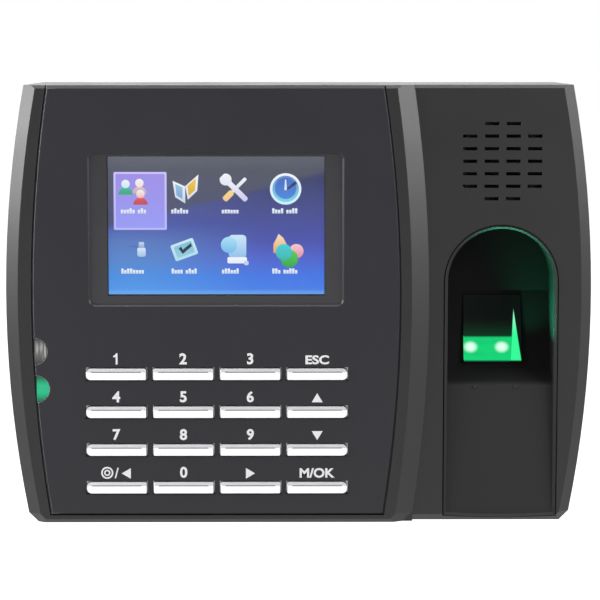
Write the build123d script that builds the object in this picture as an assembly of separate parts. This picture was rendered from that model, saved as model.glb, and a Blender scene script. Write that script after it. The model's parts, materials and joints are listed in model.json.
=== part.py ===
"""Wall-hung fingerprint scanner terminal: a bowed black housing with a colour display and a
sixteen-key keypad on its raised left side, and an arched finger bay under a speaker on its right.

Frame: +Z is up, the front faces -Y, and +X is to the right of someone who stands in front of it.
The origin is the centre of the wall plate's rear face, so the wall is the plane y = 0.
Sketches are drawn in (x, z) and given a height h, their distance from the wall: y = -h.
All sizes are in millimetres.
"""

from build123d import *
import os

# ---------------------------------------------------------------- driving dimensions: housing
KEY_PITCH_X, KEY_PITCH_Z = 21.35, 12.23
SIDE_ROOM = 101.6  # beside the keypad's four columns: its margins and the finger panel
WIDTH = 4 * KEY_PITCH_X + SIDE_ROOM  # across the bowed sides at mid height
HEIGHT = 140.0
DEPTH = 30.0  # from the wall to the raised face
SIDE_BOW = 6.4  # how far each side bows out between its ends
SIDE_DRAFT = 4.2  # how far each side draws in from the front to the wall
CORNER_CUT = 3.0  # lower corners of the outline
WALL = 2.5
PARTING_H = 12.0  # where the front and back shells meet
REAR_GAP = 0.4  # between the back shell's rim and the wall
STEP = 3.0  # the finger panel lies this far below the raised face
OUTER_BEVEL_W = 4.0  # left bevel, across
RIGHT_BEVEL_W = 3.7
RIGHT_BEVEL_D = 2.5
INNER_BEVEL_W = 5.6  # slope from the raised face down to the finger panel
FINGER_PANEL_W = 50.9  # from the foot of that slope to the right end of the outline
TOP_EDGE_CUT = 1.0
BOTTOM_EDGE_CUT = 1.3
PANEL_BOTTOM_CUT = 2.2

# ---------------------------------------------------------------- driving dimensions: face
FACE_T = 1.2  # faceplate
FACE_SEAT_T = 1.6  # shell floor under the faceplate
FACE_GAP = 0.4  # groove round the faceplate
FACE_LEFT_MARGIN = 7.5  # from the outline to the faceplate, at the ends of the sides
FACE_RIGHT_MARGIN = 4.0  # from the inner slope's top edge to the faceplate
FACE_BOTTOM_MARGIN = 2.9
FACE_EDGE_CUT = 0.35  # chamfer along its bowed edges
FACE_BOW = 5.3

WINDOW_W, WINDOW_H = 79.8, 47.9  # opening in the faceplate
WINDOW_FROM_TOP = 45.5  # from the top of the housing to the window's centre
WINDOW_R = 1.6
WINDOW_EDGE_CUT = 0.6
WINDOW_T = 1.0
RAISED_IN, RAISED_PAST = 0.4, 2.0  # the raised section's hollow, in from its bevel and past its slope
PILOT_END = 0.6  # plastic left at the blind end of a small pilot hole
WINDOW_LAP = 1.8  # the window reaches this far behind the faceplate
SCREEN_W, SCREEN_H = 68.6, 43.9  # lit area
LCD_MARGIN = 4.0  # the display's tray, past the lit area on each side
LCD_T, LCD_GLASS_T, LCD_SKIN = 4.0, 1.5, 0.3
GASKET_IN, GASKET_OUT = 1.0, 2.5  # the gasket's inner and outer edge, past the lit area
SCREEN_RISE = 1.0  # the lit area's centre above the window's

KEY_W, KEY_H = 19.0, 3.6
KEY_ROW_FROM_BOTTOM = 11.6  # from the bottom of the housing to the lowest row
KEY_PROUD = 1.1  # ridge of a key above the faceplate
KEY_EDGE_DROP = 0.55  # its long edges below its ridge
KEY_RIDGE_RISE = 0.75  # its ridge above its centre line
KEY_GAP = 0.4
KEY_FLANGE = 1.0
KEY_FLANGE_T = 1.1
KEY_STOP_GAP = 0.05
KEY_CORNER_R, KEY_END_R = 0.35, 1.5  # the outer ends of the outer columns are rounder
MAT_MARGIN_X, MAT_MARGIN_Z = 1.5, 2.0  # the keypad mat, past the keys on each side
KEYPAD_BOARD_MARGIN = 2.0  # the keypad board, past the mat at its top and bottom
KEY_NAMES = [
    ["key_1", "key_2", "key_3", "key_esc"],
    ["key_4", "key_5", "key_6", "key_up"],
    ["key_7", "key_8", "key_9", "key_down"],
    ["key_left", "key_0", "key_right", "key_ok"],
]

LENS_H = 8.4  # status light lenses, D shaped, on the faceplate's left edge
LENS_W = 4.0
LENS_PITCH = 12.1
LENS_LOW_FROM_BOTTOM = 43.5
LENS_FIT = 0.1
LENS_INSET = 0.2  # its flat side, in from the faceplate's edge

# ---------------------------------------------------------------- driving dimensions: finger bay
BAY_FROM_SIDE = 22.9  # from the right end of the outline to the bay's centre line
BAY_HALF_W = 17.0
BAY_TOP_FROM_BOTTOM = 94.4
BAY_WALL = 1.0
BAY_FIT = 0.3
BAY_RIM = 0.3  # the bay's rim stands this proud of the finger panel
BAY_FLOOR_T = 1.9
GUIDE_FLANGE_W, GUIDE_FLANGE_T = 1.6, 1.2  # behind the finger panel, round the bay's upper part
RAMP_TOP = 44.0  # heights up from the bottom of the housing
RAMP_FOOT = 2.9
RAMP_FOOT_BOW = 0.7  # its lower edge bulges down by this much
SHELF_TOP = 48.4  # where the steep face below the glass ends
GLASS_TOP = 72.6
RAMP_FOOT_D = 0.4  # depths below the finger panel
RAMP_TOP_D = 2.8
SHELF_D = 11.2
BAY_D = 18.1

GLASS_W, GLASS_H = 18.6, 21.1
GLASS_LOW = 50.2  # up from the bottom of the housing
GLASS_PROUD_LOW, GLASS_PROUD_TOP = 1.5, 0.3
SENSOR_W = 24.0
SENSOR_SHIFT = -1.6  # the sensor sits left of the bay's centre line
SENSOR_LENGTH = 38.0
SENSOR_FIT = 0.1
SENSOR_TOP_CLEAR = 4.0  # its housing, past the top of the glass's slope
SENSOR_DEPTH = 3.1  # its housing, behind the bay's floor
SENSOR_WALL = 1.6
SENSOR_SKIN = 0.3  # between its housing and the bay's floor
CAMERA_R, CAMERA_NOSE_R, CAMERA_LENS_R = 3.2, 2.4, 1.4
CAMERA_L, CAMERA_NOSE_L = 5.0, 2.0
LAMP_R, LAMP_L, LAMP_SPREAD = 1.5, 4.0, 7.6

GRILLE_FROM_TOP = 24.1
GRILLE_PITCH_X, GRILLE_PITCH_Z = 6.85, 3.97
GRILLE_SLOT_W, GRILLE_SLOT_H = 4.6, 1.1
GRILLE_ROWS = [2, 4, 4, 4, 4, 4, 2]  # slots in each row
SPEAKER_R = 14.0
SPEAKER_D = 5.4
MAGNET_R, MAGNET_T = 9.0, 4.6
CONE_T, CONE_L, CONE_NECK_R, CONE_MARGIN = 0.6, 3.4, 4.0, 1.6
FRAME_T = 1.0  # the speaker frame's wall and floor
GASKET_T = 0.6

# ---------------------------------------------------------------- driving dimensions: back
PLATE_W, PLATE_T = 150.0, 1.5
PLATE_FROM_ENDS = 9.0  # from the top and the bottom of the housing
PLATE_R = 4.0
PLATE_CLEAR = 0.8
WALL_HOLE_PITCH_X = 135.0
WALL_HOLE_FROM_EDGE = 11.0  # from the plate's top and bottom edges
WALL_HOLE_R = 2.25
HEAD_POCKET_R, HEAD_POCKET_D = 6.0, 3.5
FLOOR_T = 2.0
BAY_PORT_W, BAY_PORT_H = 68.0, 32.0  # connector bay in the back
BAY_PORT_X, BAY_PORT_TOP_FROM_BOTTOM = -26.0, 54.0
PORT_CEILING_CLEAR = 3.1  # from its ceiling to the main board
HOOK_X, HOOK_FROM_TOP = 50.0, 36.0
HOOK_W, HOOK_RISE = 10.0, 4.0
LOCK_FLANGE_W, LOCK_FLANGE_D = 16.0, 6.5

# ---------------------------------------------------------------- driving dimensions: inside
BOARD_T = 1.6
MAIN_BOARD_H = 16.0  # the main board's rear face, from the wall
BOARD_SIDE_CLEAR = 17.0  # from the outline's left end to the main board
BOARD_STEP_CLEAR = 5.1  # from the slope's foot to the main board
BOARD_TOP_CLEAR = 17.5
BOARD_BOTTOM_CLEAR = 1.4
MAT_T, DOME_T = 1.0, 1.4
CASE_SCREW_X, CASE_SCREW_Z = 9.6, 8.0  # in from the outline's corners
BOSS_R, BOSS_PILOT_R = 3.4, 1.55
ROOT = 1.0  # how far a boss or a wall reaches into what it grows from
BOSS_END = 1.0  # left solid past a blind pilot hole
RAMP_BOSS_DROP = 7.0  # the boss behind the ramp ends this far below the finger panel
BRACE_HALF_T = 2.0  # half the thickness of that boss's braces
SCREW_R, SCREW_HEAD_R, SCREW_HEAD_T = 1.5, 2.8, 1.8
SCREW_SEAT_H = 6.0  # under the case screws' heads, from the wall
SMALL_SCREW_R, SMALL_HEAD_R, SMALL_HEAD_T = 1.1, 2.1, 1.2
SMALL_BOSS_R, SMALL_PILOT_R = 2.3, 1.15
SCREW_FIT = 0.25
USB_W, USB_T, USB_L = 13.1, 5.7, 14.0
USB_WALL = 0.4
BOARD_SCREW_INSET = 4.0
BOARD_BOSS_EXTRA = 0.5  # radius of the main board's bosses past the small ones
BOARD_PILOT_BELOW = 4.0  # their pilot holes start this far below the parting line
SLOT_SLACK = 0.3
TAMPER_FROM_SIDE, TAMPER_FROM_TOP = 14.0, 22.0  # from the main board's edges
RESET_SHIFT = 1.4  # in key columns from the keypad's middle
TERMINAL_COUNT, TERMINAL_PITCH = 7, 3.81
TERMINAL_ENTRY_R, TERMINAL_SCREW_R = 1.3, 1.2
POWER_MOUTH_R, POWER_PIN_R, POWER_DEEP = 3.0, 1.0, 10.0
CELL_R, CELL_T = 10.0, 3.2
JACK_W, JACK_T, JACK_L = 16.0, 12.3, 16.0
JACK_PORT_W, JACK_PORT_T, JACK_PORT_L = 11.8, 8.0, 12.0
PORT_FIT = 0.2
PLUNGER_R, PLUNGER_FIT, SWITCH_TRAVEL = 1.6, 0.1, 0.5
RESET_R = 1.0

# ---------------------------------------------------------------- places that follow from those
TOP, BOTTOM = HEIGHT / 2, -HEIGHT / 2
PLATE_H = HEIGHT - 2 * PLATE_FROM_ENDS
WALL_HOLE_PITCH_Z = PLATE_H - 2 * WALL_HOLE_FROM_EDGE
BAY_PORT_H_MAX = MAIN_BOARD_H - PORT_CEILING_CLEAR  # how far the connector bay reaches from the wall
END_X = WIDTH / 2 - SIDE_BOW  # half width at the top and bottom of the outline
MID_X = WIDTH / 2
FACE_H = DEPTH
PANEL_H = DEPTH - STEP  # the finger panel
BEVEL_H = PANEL_H - RIGHT_BEVEL_D
SLOPE_FOOT_X = END_X - FINGER_PANEL_W
SLOPE_TOP_X = SLOPE_FOOT_X - INNER_BEVEL_W
SLOPE_BOW = 5.0
FACE_LEFT_X = -END_X + FACE_LEFT_MARGIN
FACE_RIGHT_X = SLOPE_TOP_X - FACE_RIGHT_MARGIN
PANEL_X = (FACE_LEFT_X + FACE_RIGHT_X) / 2  # centre line of display and keypad
SEAT_H = FACE_H - FACE_T  # rear of the faceplate
SEAT_REAR_H = SEAT_H - FACE_SEAT_T
WINDOW_Z = TOP - WINDOW_FROM_TOP
SCREEN_Z = WINDOW_Z + SCREEN_RISE
KEYPAD_Z = BOTTOM + KEY_ROW_FROM_BOTTOM + 1.5 * KEY_PITCH_Z
KEY_REAR_H = SEAT_REAR_H - KEY_STOP_GAP - KEY_FLANGE_T
KEYPAD_BOARD_H = KEY_REAR_H - DOME_T - MAT_T - BOARD_T
BAY_X = END_X - BAY_FROM_SIDE
SENSOR_X = BAY_X + SENSOR_SHIFT
BAY_TOP = BOTTOM + BAY_TOP_FROM_BOTTOM
GRILLE_Z = TOP - GRILLE_FROM_TOP
BOARD_FRONT_H = MAIN_BOARD_H + BOARD_T
FLOOR_H = PLATE_T + FLOOR_T  # inner face of the back shell's floor
BOARD_LEFT, BOARD_RIGHT = -END_X + BOARD_SIDE_CLEAR, SLOPE_FOOT_X - BOARD_STEP_CLEAR
BOARD_TOP, BOARD_LOW = TOP - BOARD_TOP_CLEAR, BOTTOM + WALL + BOARD_BOTTOM_CLEAR
PORT_TOP_Z = BOTTOM + BAY_PORT_TOP_FROM_BOTTOM
PORT_LOW_Z = PORT_TOP_Z - BAY_PORT_H


# ---------------------------------------------------------------- helpers
def slab(sketch, h0, h1):
    """A sketch in (x, z), made solid from h0 to h1 from the wall."""
    return extrude(Plane.XZ.offset(h0) * sketch, amount=h1 - h0)


def rect(x, z, width, height, r=0.0):
    """A rectangle, with rounded corners where r is given."""
    shape = RectangleRounded(width, height, r) if r else Rectangle(width, height)
    return Pos(x, z) * shape


def disc(x, z, r):
    return Pos(x, z) * Circle(r)


def block(x0, x1, z0, z1, h0, h1):
    """A box by its limits."""
    return slab(rect((x0 + x1) / 2, (z0 + z1) / 2, x1 - x0, z1 - z0), h0, h1)


def rod(x, z, r, h0, h1):
    """A cylinder along Y."""
    return slab(disc(x, z, r), h0, h1)


def upright(x, h, r, z0, z1):
    """A cylinder along Z."""
    return Pos(x, -h, (z0 + z1) / 2) * Cylinder(r, z1 - z0)


def profile(points, x0, x1):
    """A closed outline of (z, h) points, made solid from x0 to x1."""
    outline = make_face(Polyline([(-h, z) for z, h in points], close=True))
    return extrude(Plane.YZ.offset(x0) * outline, amount=x1 - x0)


def bowed(left, right, low, high, cut=0.0):
    """A face with bowed sides. left and right are (x at the ends, x at mid height)."""
    middle = (low + high) / 2
    corners = [
        (right[0], low + cut),
        (right[0] - cut, low),
        (left[0] + cut, low),
        (left[0], low + cut),
    ]
    edges = [
        Line((left[0], high), (right[0], high)),
        ThreePointArc((right[0], high), (right[1], middle), corners[0]),
        Line(corners[1], corners[2]),
        ThreePointArc(corners[3], (left[1], middle), (left[0], high)),
    ]
    if cut:
        edges += [Line(corners[0], corners[1]), Line(corners[2], corners[3])]
    return make_face(edges)


def housing_outline(h, inset=0.0):
    """The housing's section at a height from the wall."""
    d = SIDE_DRAFT * (1 - h / PANEL_H) + inset
    left, right = (-END_X + d, -MID_X + d), (END_X - d, MID_X - d)
    return bowed(left, right, BOTTOM + inset, TOP - inset, CORNER_CUT)


def between(h0, face0, h1, face1):
    """A solid with straight walls from one face to another."""
    return loft([Plane.XZ.offset(h0) * face0, Plane.XZ.offset(h1) * face1], ruled=True)


def fuse_all(shapes):
    total = shapes[0]
    for shape in shapes[1:]:
        total = total + shape
    return total


def cut_all(body, shapes):
    for shape in shapes:
        body = body - shape
    return body


def save(name, shape):
    shape.label = name
    export_step(shape, f"parts/{name}.step")


def save_group(name, shapes):
    save(name, Compound(children=list(shapes)))


# ---------------------------------------------------------------- shared places
def key_place(row, column):
    x = PANEL_X + (column - 1.5) * KEY_PITCH_X
    z = KEYPAD_Z + (1.5 - row) * KEY_PITCH_Z
    return x, z


def key_places():
    return [key_place(row, column) for row in range(4) for column in range(4)]


def lens_places():
    low = BOTTOM + LENS_LOW_FROM_BOTTOM
    return [low, low + LENS_PITCH]


def face_left_at(z):
    """The faceplate's left edge at a height: a circular arc, close to a parabola."""
    half = (HEIGHT - FACE_BOTTOM_MARGIN) / 2
    middle = FACE_BOTTOM_MARGIN / 2
    return FACE_LEFT_X - FACE_BOW * (1 - ((z - middle) / half) ** 2)


def grille_slots():
    slots = []
    for row, count in enumerate(GRILLE_ROWS):
        z = GRILLE_Z + ((len(GRILLE_ROWS) - 1) / 2 - row) * GRILLE_PITCH_Z
        for column in range(count):
            slots.append((BAY_X + (column - (count - 1) / 2) * GRILLE_PITCH_X, z))
    return slots


def case_screw_places():
    x, z = END_X - CASE_SCREW_X, TOP - CASE_SCREW_Z
    inner = SLOPE_FOOT_X + BOSS_R - 1.5 * ROOT
    return [(-x, z), (x, z), (-x, -z), (x, -z), (inner, z), (inner, -z)]


def keypad_screw_places():
    x, z = 1.5 * KEY_PITCH_X, KEY_PITCH_Z
    return [(PANEL_X + a * x, KEYPAD_Z + b * z) for a in (-1, 1) for b in (-1, 1)]


def board_screw_places():
    xs = (BOARD_LEFT + BOARD_SCREW_INSET, BOARD_RIGHT - BOARD_SCREW_INSET)
    low = BOARD_LOW + USB_L + BOARD_SCREW_INSET
    return [(x, z) for x in xs for z in (low, BOARD_TOP - BOARD_SCREW_INSET)]


def wall_hole_places():
    x, z = WALL_HOLE_PITCH_X / 2, WALL_HOLE_PITCH_Z / 2
    return [(a * x, b * z) for a in (-1, 1) for b in (-1, 1)]


def hook_places():
    return [(a * HOOK_X, TOP - HOOK_FROM_TOP) for a in (-1, 1)]


USB_X = BOARD_RIGHT - USB_W / 2 - 0.2
RESET_X = PANEL_X + RESET_SHIFT * KEY_PITCH_X
TAMPER_X, TAMPER_Z = BOARD_RIGHT - TAMPER_FROM_SIDE, BOARD_TOP - TAMPER_FROM_TOP


# ---------------------------------------------------------------- housing
def faceplate_outline(grow=0.0):
    """The faceplate runs out at the top of the housing, so it grows only sideways and down."""
    left = (FACE_LEFT_X - grow, FACE_LEFT_X - FACE_BOW - grow)
    right = (FACE_RIGHT_X + grow, FACE_RIGHT_X + FACE_BOW + grow)
    return bowed(left, right, BOTTOM + FACE_BOTTOM_MARGIN - grow, TOP)


def lens_outline(z, grow=0.0):
    """A D with its flat side on the faceplate's left edge."""
    x = face_left_at(z) + LENS_INSET
    top, low = (x - grow, z + LENS_H / 2 + grow), (x - grow, z - LENS_H / 2 - grow)
    return make_face([Line(low, top), ThreePointArc(top, (x + LENS_W + grow, z), low)])


def arch_outline(grow=0.0):
    """The finger bay seen from the front: a round top on straight sides, with a bowed foot."""
    r = BAY_HALF_W + grow
    spring, low = BAY_TOP - BAY_HALF_W, BOTTOM + RAMP_FOOT - grow
    corners = [(BAY_X + r, spring), (BAY_X - r, spring), (BAY_X - r, low), (BAY_X + r, low)]
    edges = [
        ThreePointArc(corners[0], (BAY_X, spring + r), corners[1]),
        Line(corners[1], corners[2]),
        ThreePointArc(corners[2], (BAY_X, low - RAMP_FOOT_BOW), corners[3]),
        Line(corners[3], corners[0]),
    ]
    return make_face(edges)


def housing_front():
    """The outer form of the front shell, solid."""
    core = between(PARTING_H, housing_outline(PARTING_H), BEVEL_H, housing_outline(BEVEL_H))
    full_left = (-END_X, -MID_X)
    full_right = (END_X, MID_X)
    bevelled_right = (END_X - RIGHT_BEVEL_W, MID_X - RIGHT_BEVEL_W)
    panel = between(
        BEVEL_H,
        housing_outline(BEVEL_H),
        PANEL_H,
        bowed(full_left, bevelled_right, BOTTOM, TOP, CORNER_CUT),
    )
    raised = between(
        PANEL_H,
        bowed(full_left, (SLOPE_FOOT_X, SLOPE_FOOT_X + SLOPE_BOW), BOTTOM, TOP, CORNER_CUT),
        FACE_H,
        bowed(
            (-END_X + OUTER_BEVEL_W, -MID_X + OUTER_BEVEL_W),
            (SLOPE_TOP_X, SLOPE_TOP_X + SLOPE_BOW),
            BOTTOM,
            TOP,
            CORNER_CUT,
        ),
    )
    solid = core + panel + raised
    far = WIDTH
    face_low = [(BOTTOM, FACE_H - BOTTOM_EDGE_CUT), (BOTTOM + BOTTOM_EDGE_CUT, FACE_H)]
    panel_low = [(BOTTOM, PANEL_H - PANEL_BOTTOM_CUT), (BOTTOM + PANEL_BOTTOM_CUT, PANEL_H)]
    face_top = [(TOP, FACE_H - TOP_EDGE_CUT), (TOP - TOP_EDGE_CUT, FACE_H)]
    panel_top = [(TOP, PANEL_H - TOP_EDGE_CUT), (TOP - TOP_EDGE_CUT, PANEL_H)]
    solid = solid - profile(face_low + [(BOTTOM, FACE_H)], -far, SLOPE_FOOT_X)
    solid = solid - profile(panel_low + [(BOTTOM, PANEL_H)], SLOPE_FOOT_X, far)
    solid = solid - profile(face_top + [(TOP, FACE_H)], -far, SLOPE_FOOT_X)
    return solid - profile(panel_top + [(TOP, PANEL_H)], SLOPE_FOOT_X, far)


def make_front_shell():
    shell = housing_front()
    cavity_h = PANEL_H - WALL
    raised_left = -END_X + OUTER_BEVEL_W + RAISED_IN
    raised_right = SLOPE_TOP_X + RAISED_PAST
    shell -= between(
        PARTING_H, housing_outline(PARTING_H, WALL), cavity_h, housing_outline(cavity_h, WALL)
    )
    raised_cavity = bowed(
        (raised_left, raised_left - SIDE_BOW),
        (raised_right, raised_right + SLOPE_BOW),
        BOTTOM + WALL,
        TOP - WALL,
    )
    shell -= slab(raised_cavity, cavity_h, SEAT_REAR_H)
    shell -= slab(faceplate_outline(FACE_GAP), SEAT_H, FACE_H)
    shell -= slab(window_outline(PORT_FIT), SEAT_REAR_H, SEAT_H)
    slots = [
        slab(rect(x, z, KEY_W + 2 * KEY_GAP, KEY_H + 2 * KEY_GAP), SEAT_REAR_H, SEAT_H)
        for x, z in key_places()
    ]
    slots += [slab(lens_outline(z, LENS_FIT), SEAT_REAR_H, SEAT_H) for z in lens_places()]
    slots += [
        slab(rect(x, z, GRILLE_SLOT_W, GRILLE_SLOT_H), cavity_h, PANEL_H)
        for x, z in grille_slots()
    ]
    shell = cut_all(shell, slots)
    shell -= slab(arch_outline(BAY_WALL + BAY_FIT), cavity_h, PANEL_H)
    shell += case_bosses()
    shell += fuse_all(
        [rod(x, z, SMALL_BOSS_R, KEYPAD_BOARD_H + BOARD_T, SEAT_H) for x, z in keypad_screw_places()]
    )
    shell = cut_all(
        shell,
        [
            rod(x, z, SMALL_PILOT_R, KEYPAD_BOARD_H + BOARD_T, SEAT_H - PILOT_END)
            for x, z in keypad_screw_places()
        ],
    )
    usb_z0, usb_z1 = BOTTOM - 1.0, BOTTOM + WALL + 1.0
    shell -= block(
        USB_X - USB_W / 2 - PORT_FIT,
        USB_X + USB_W / 2 + PORT_FIT,
        usb_z0,
        usb_z1,
        BOARD_FRONT_H - PORT_FIT,
        BOARD_FRONT_H + USB_T + PORT_FIT,
    )
    return shell - upright(RESET_X, BOARD_FRONT_H + 2.0, RESET_R + SCREW_FIT, usb_z0, usb_z1)


def case_bosses():
    """Screw bosses from the parting line to the front wall. The lower right one stops behind the
    finger ramp and is braced by the side wall."""
    bosses = []
    for x, z in case_screw_places():
        under_ramp = x > BAY_X and z < 0
        top = PANEL_H - ROOT if x > SLOPE_TOP_X else SEAT_REAR_H + ROOT / 2
        if under_ramp:
            top = PANEL_H - RAMP_BOSS_DROP
        boss = rod(x, z, BOSS_R, PARTING_H, top)
        if under_ramp:
            boss += block(x, x + CASE_SCREW_X, z - BRACE_HALF_T, z + BRACE_HALF_T, PARTING_H, top)
            boss += block(x - BRACE_HALF_T, x + BRACE_HALF_T, BOTTOM + ROOT, z, PARTING_H, top)
            hull = between(PARTING_H, housing_outline(PARTING_H, ROOT), top, housing_outline(top, ROOT))
            boss = boss & hull
        bosses.append(boss - rod(x, z, BOSS_PILOT_R, PARTING_H, top - BOSS_END))
    return fuse_all(bosses)


def make_back_shell():
    shell = between(REAR_GAP, housing_outline(REAR_GAP), PARTING_H, housing_outline(PARTING_H))
    shell -= between(FLOOR_H, housing_outline(FLOOR_H, WALL), PARTING_H, housing_outline(PARTING_H, WALL))
    shell += fuse_all([rod(x, z, BOSS_R, FLOOR_H - ROOT, PARTING_H) for x, z in case_screw_places()])
    pocket_h = PLATE_T + HEAD_POCKET_D
    pocket_r, pocket_top = HEAD_POCKET_R + FLOOR_T, pocket_h + FLOOR_T
    shell += fuse_all([rod(x, z, pocket_r, FLOOR_H - ROOT, pocket_top) for x, z in wall_hole_places()])
    boss_r = SMALL_BOSS_R + BOARD_BOSS_EXTRA
    shell += fuse_all([rod(x, z, boss_r, FLOOR_H - ROOT, MAIN_BOARD_H) for x, z in board_screw_places()])
    port_left, port_right = BAY_PORT_X - BAY_PORT_W / 2, BAY_PORT_X + BAY_PORT_W / 2
    shell += block(
        port_left - FLOOR_T,
        port_right + FLOOR_T,
        PORT_LOW_Z - FLOOR_T,
        PORT_TOP_Z + FLOOR_T,
        FLOOR_H - ROOT,
        BAY_PORT_H_MAX + FLOOR_T,
    )
    cuts = [slab(plate_outline(PLATE_CLEAR), 0, PLATE_T)]
    cuts += [rod(x, z, HEAD_POCKET_R, 0, pocket_h) for x, z in wall_hole_places()]
    cuts += [rod(x, z, SCREW_HEAD_R + 2 * SCREW_FIT, 0, SCREW_SEAT_H) for x, z in case_screw_places()]
    cuts += [rod(x, z, SCREW_R + SCREW_FIT, 0, PARTING_H) for x, z in case_screw_places()]
    cuts += [rod(x, z, SMALL_PILOT_R, PARTING_H - BOARD_PILOT_BELOW, MAIN_BOARD_H) for x, z in board_screw_places()]
    cuts.append(block(port_left, port_right, PORT_LOW_Z, PORT_TOP_Z, 0, BAY_PORT_H_MAX))
    cuts += [socket.aperture() for socket in SOCKETS]
    hook_low, hook_high = PLATE_T + PLATE_CLEAR, HOOK_RISE + 2 * PLATE_CLEAR
    hook_half = HOOK_W / 2 + PLATE_CLEAR
    cuts += [
        block(x - hook_half, x + hook_half, z - hook_low, z + hook_high, 0, FLOOR_H)
        for x, z in hook_places()
    ]
    cuts.append(rod(TAMPER_X, TAMPER_Z, PLUNGER_R + 2 * PLUNGER_FIT, 0, FLOOR_H))
    shell = cut_all(shell, cuts)
    flange_z = -PLATE_H / 2
    slot_w, slot_d = LOCK_FLANGE_W + 2 * PLATE_CLEAR, PLATE_T + LOCK_FLANGE_D + PLATE_CLEAR
    shell -= block(-slot_w / 2, slot_w / 2, flange_z - PLATE_CLEAR, flange_z + PLATE_T + SLOT_SLACK, 0, slot_d)
    return shell - upright(0, LOCK_SCREW_H, SCREW_R + SCREW_FIT, BOTTOM - 1, flange_z)


def plate_outline(grow=0.0):
    return rect(0, 0, PLATE_W + 2 * grow, PLATE_H + 2 * grow, PLATE_R)


def window_outline(grow=0.0):
    lap = 2 * (WINDOW_LAP + grow)
    return rect(PANEL_X, WINDOW_Z, WINDOW_W + lap, WINDOW_H + lap, WINDOW_R + WINDOW_LAP)


def make_faceplate():
    plate = slab(faceplate_outline(), SEAT_H, FACE_H - FACE_EDGE_CUT)
    plate += between(
        FACE_H - FACE_EDGE_CUT, faceplate_outline(), FACE_H, faceplate_outline(-FACE_EDGE_CUT)
    )
    top_edge = [(TOP, FACE_H - TOP_EDGE_CUT), (TOP - TOP_EDGE_CUT, FACE_H), (TOP, FACE_H)]
    plate -= profile(top_edge, -WIDTH, WIDTH)
    opening = rect(PANEL_X, WINDOW_Z, WINDOW_W, WINDOW_H, WINDOW_R)
    wide = WINDOW_EDGE_CUT * 2
    flared = rect(PANEL_X, WINDOW_Z, WINDOW_W + wide, WINDOW_H + wide, WINDOW_R + WINDOW_EDGE_CUT)
    plate -= slab(opening, SEAT_H, FACE_H)
    plate -= between(FACE_H - WINDOW_EDGE_CUT, opening, FACE_H, flared)
    holes = [
        slab(rect(x, z, KEY_W + 2 * KEY_GAP, KEY_H + 2 * KEY_GAP), SEAT_H, FACE_H)
        for x, z in key_places()
    ]
    holes += [slab(lens_outline(z, LENS_FIT), SEAT_H, FACE_H) for z in lens_places()]
    notch = 2 * LENS_INSET
    holes += [
        slab(rect(face_left_at(z) - notch, z, 2 * notch + LENS_INSET, LENS_H + 2 * LENS_FIT), SEAT_H, FACE_H)
        for z in lens_places()
    ]
    return cut_all(plate, holes)


def make_status_lenses():
    """Upper and lower lens, each with a flange behind the shell's floor."""
    lenses = []
    for z in reversed(lens_places()):
        lens = slab(lens_outline(z), SEAT_REAR_H, FACE_H - 0.1)
        flange = rect(face_left_at(z) + LENS_W / 2, z, LENS_W + 1.6, LENS_H + 2.4)
        lenses.append(lens + slab(flange, SEAT_REAR_H - 0.8, SEAT_REAR_H))
    return lenses


# ---------------------------------------------------------------- display
def make_display():
    window = slab(window_outline(), SEAT_H - WINDOW_T, SEAT_H)
    tray_w, tray_h = SCREEN_W + 2 * LCD_MARGIN, SCREEN_H + 2 * LCD_MARGIN
    front = SEAT_H - WINDOW_T - GASKET_T
    outer = rect(PANEL_X, SCREEN_Z, SCREEN_W + 2 * GASKET_OUT, SCREEN_H + 2 * GASKET_OUT)
    inner = rect(PANEL_X, SCREEN_Z, SCREEN_W + 2 * GASKET_IN, SCREEN_H + 2 * GASKET_IN)
    gasket = slab(outer, front, front + GASKET_T) - slab(inner, front, front + GASKET_T)
    tray = slab(rect(PANEL_X, SCREEN_Z, tray_w, tray_h), front - LCD_T, front)
    inner = rect(PANEL_X, SCREEN_Z, tray_w - 2 * LCD_SKIN, tray_h - 2 * LCD_SKIN)
    tray -= slab(inner, front - LCD_T + LCD_SKIN, front - LCD_SKIN)
    tray -= slab(rect(PANEL_X, SCREEN_Z, SCREEN_W + GASKET_IN, SCREEN_H + GASKET_IN), front - LCD_SKIN, front)
    glass_w, glass_h = tray_w - 1.0, tray_h - 1.0
    glass_h1 = front - LCD_SKIN
    glass = slab(rect(PANEL_X, SCREEN_Z, glass_w, glass_h), glass_h1 - LCD_GLASS_T, glass_h1)
    light = slab(
        rect(PANEL_X, SCREEN_Z, glass_w, glass_h),
        front - LCD_T + LCD_SKIN,
        glass_h1 - LCD_GLASS_T,
    )
    save("display_window", window)
    save("display_gasket", gasket)
    save("display_tray", tray)
    save("display_panel", glass)
    save("display_backlight", light)
    rear = front - LCD_T
    cable_z = SCREEN_Z - 18
    flex = block(PANEL_X - 8, PANEL_X + 8, cable_z, cable_z + 0.3, BOARD_FRONT_H, rear)
    save("display_cable", flex)


# ---------------------------------------------------------------- keypad
def make_key(row, column):
    x, z = key_place(row, column)
    top = FACE_H + KEY_PROUD
    edge = top - KEY_EDGE_DROP
    half = KEY_H / 2
    roof = [
        (z - half, KEY_REAR_H),
        (z - half, edge),
        (z + KEY_RIDGE_RISE, top),
        (z + half, edge),
        (z + half, KEY_REAR_H),
    ]
    bar = profile(roof, x - KEY_W / 2, x + KEY_W / 2)
    left_r = KEY_END_R if column == 0 else KEY_CORNER_R
    right_r = KEY_END_R if column == 3 else KEY_CORNER_R
    bar = fillet(vertical_corners(bar, x - KEY_W / 2), left_r)
    bar = fillet(vertical_corners(bar, x + KEY_W / 2), right_r)
    flange = rect(x, z, KEY_W + 2 * KEY_FLANGE, KEY_H + 2 * KEY_FLANGE)
    return bar + slab(flange, KEY_REAR_H, KEY_REAR_H + KEY_FLANGE_T)


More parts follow.
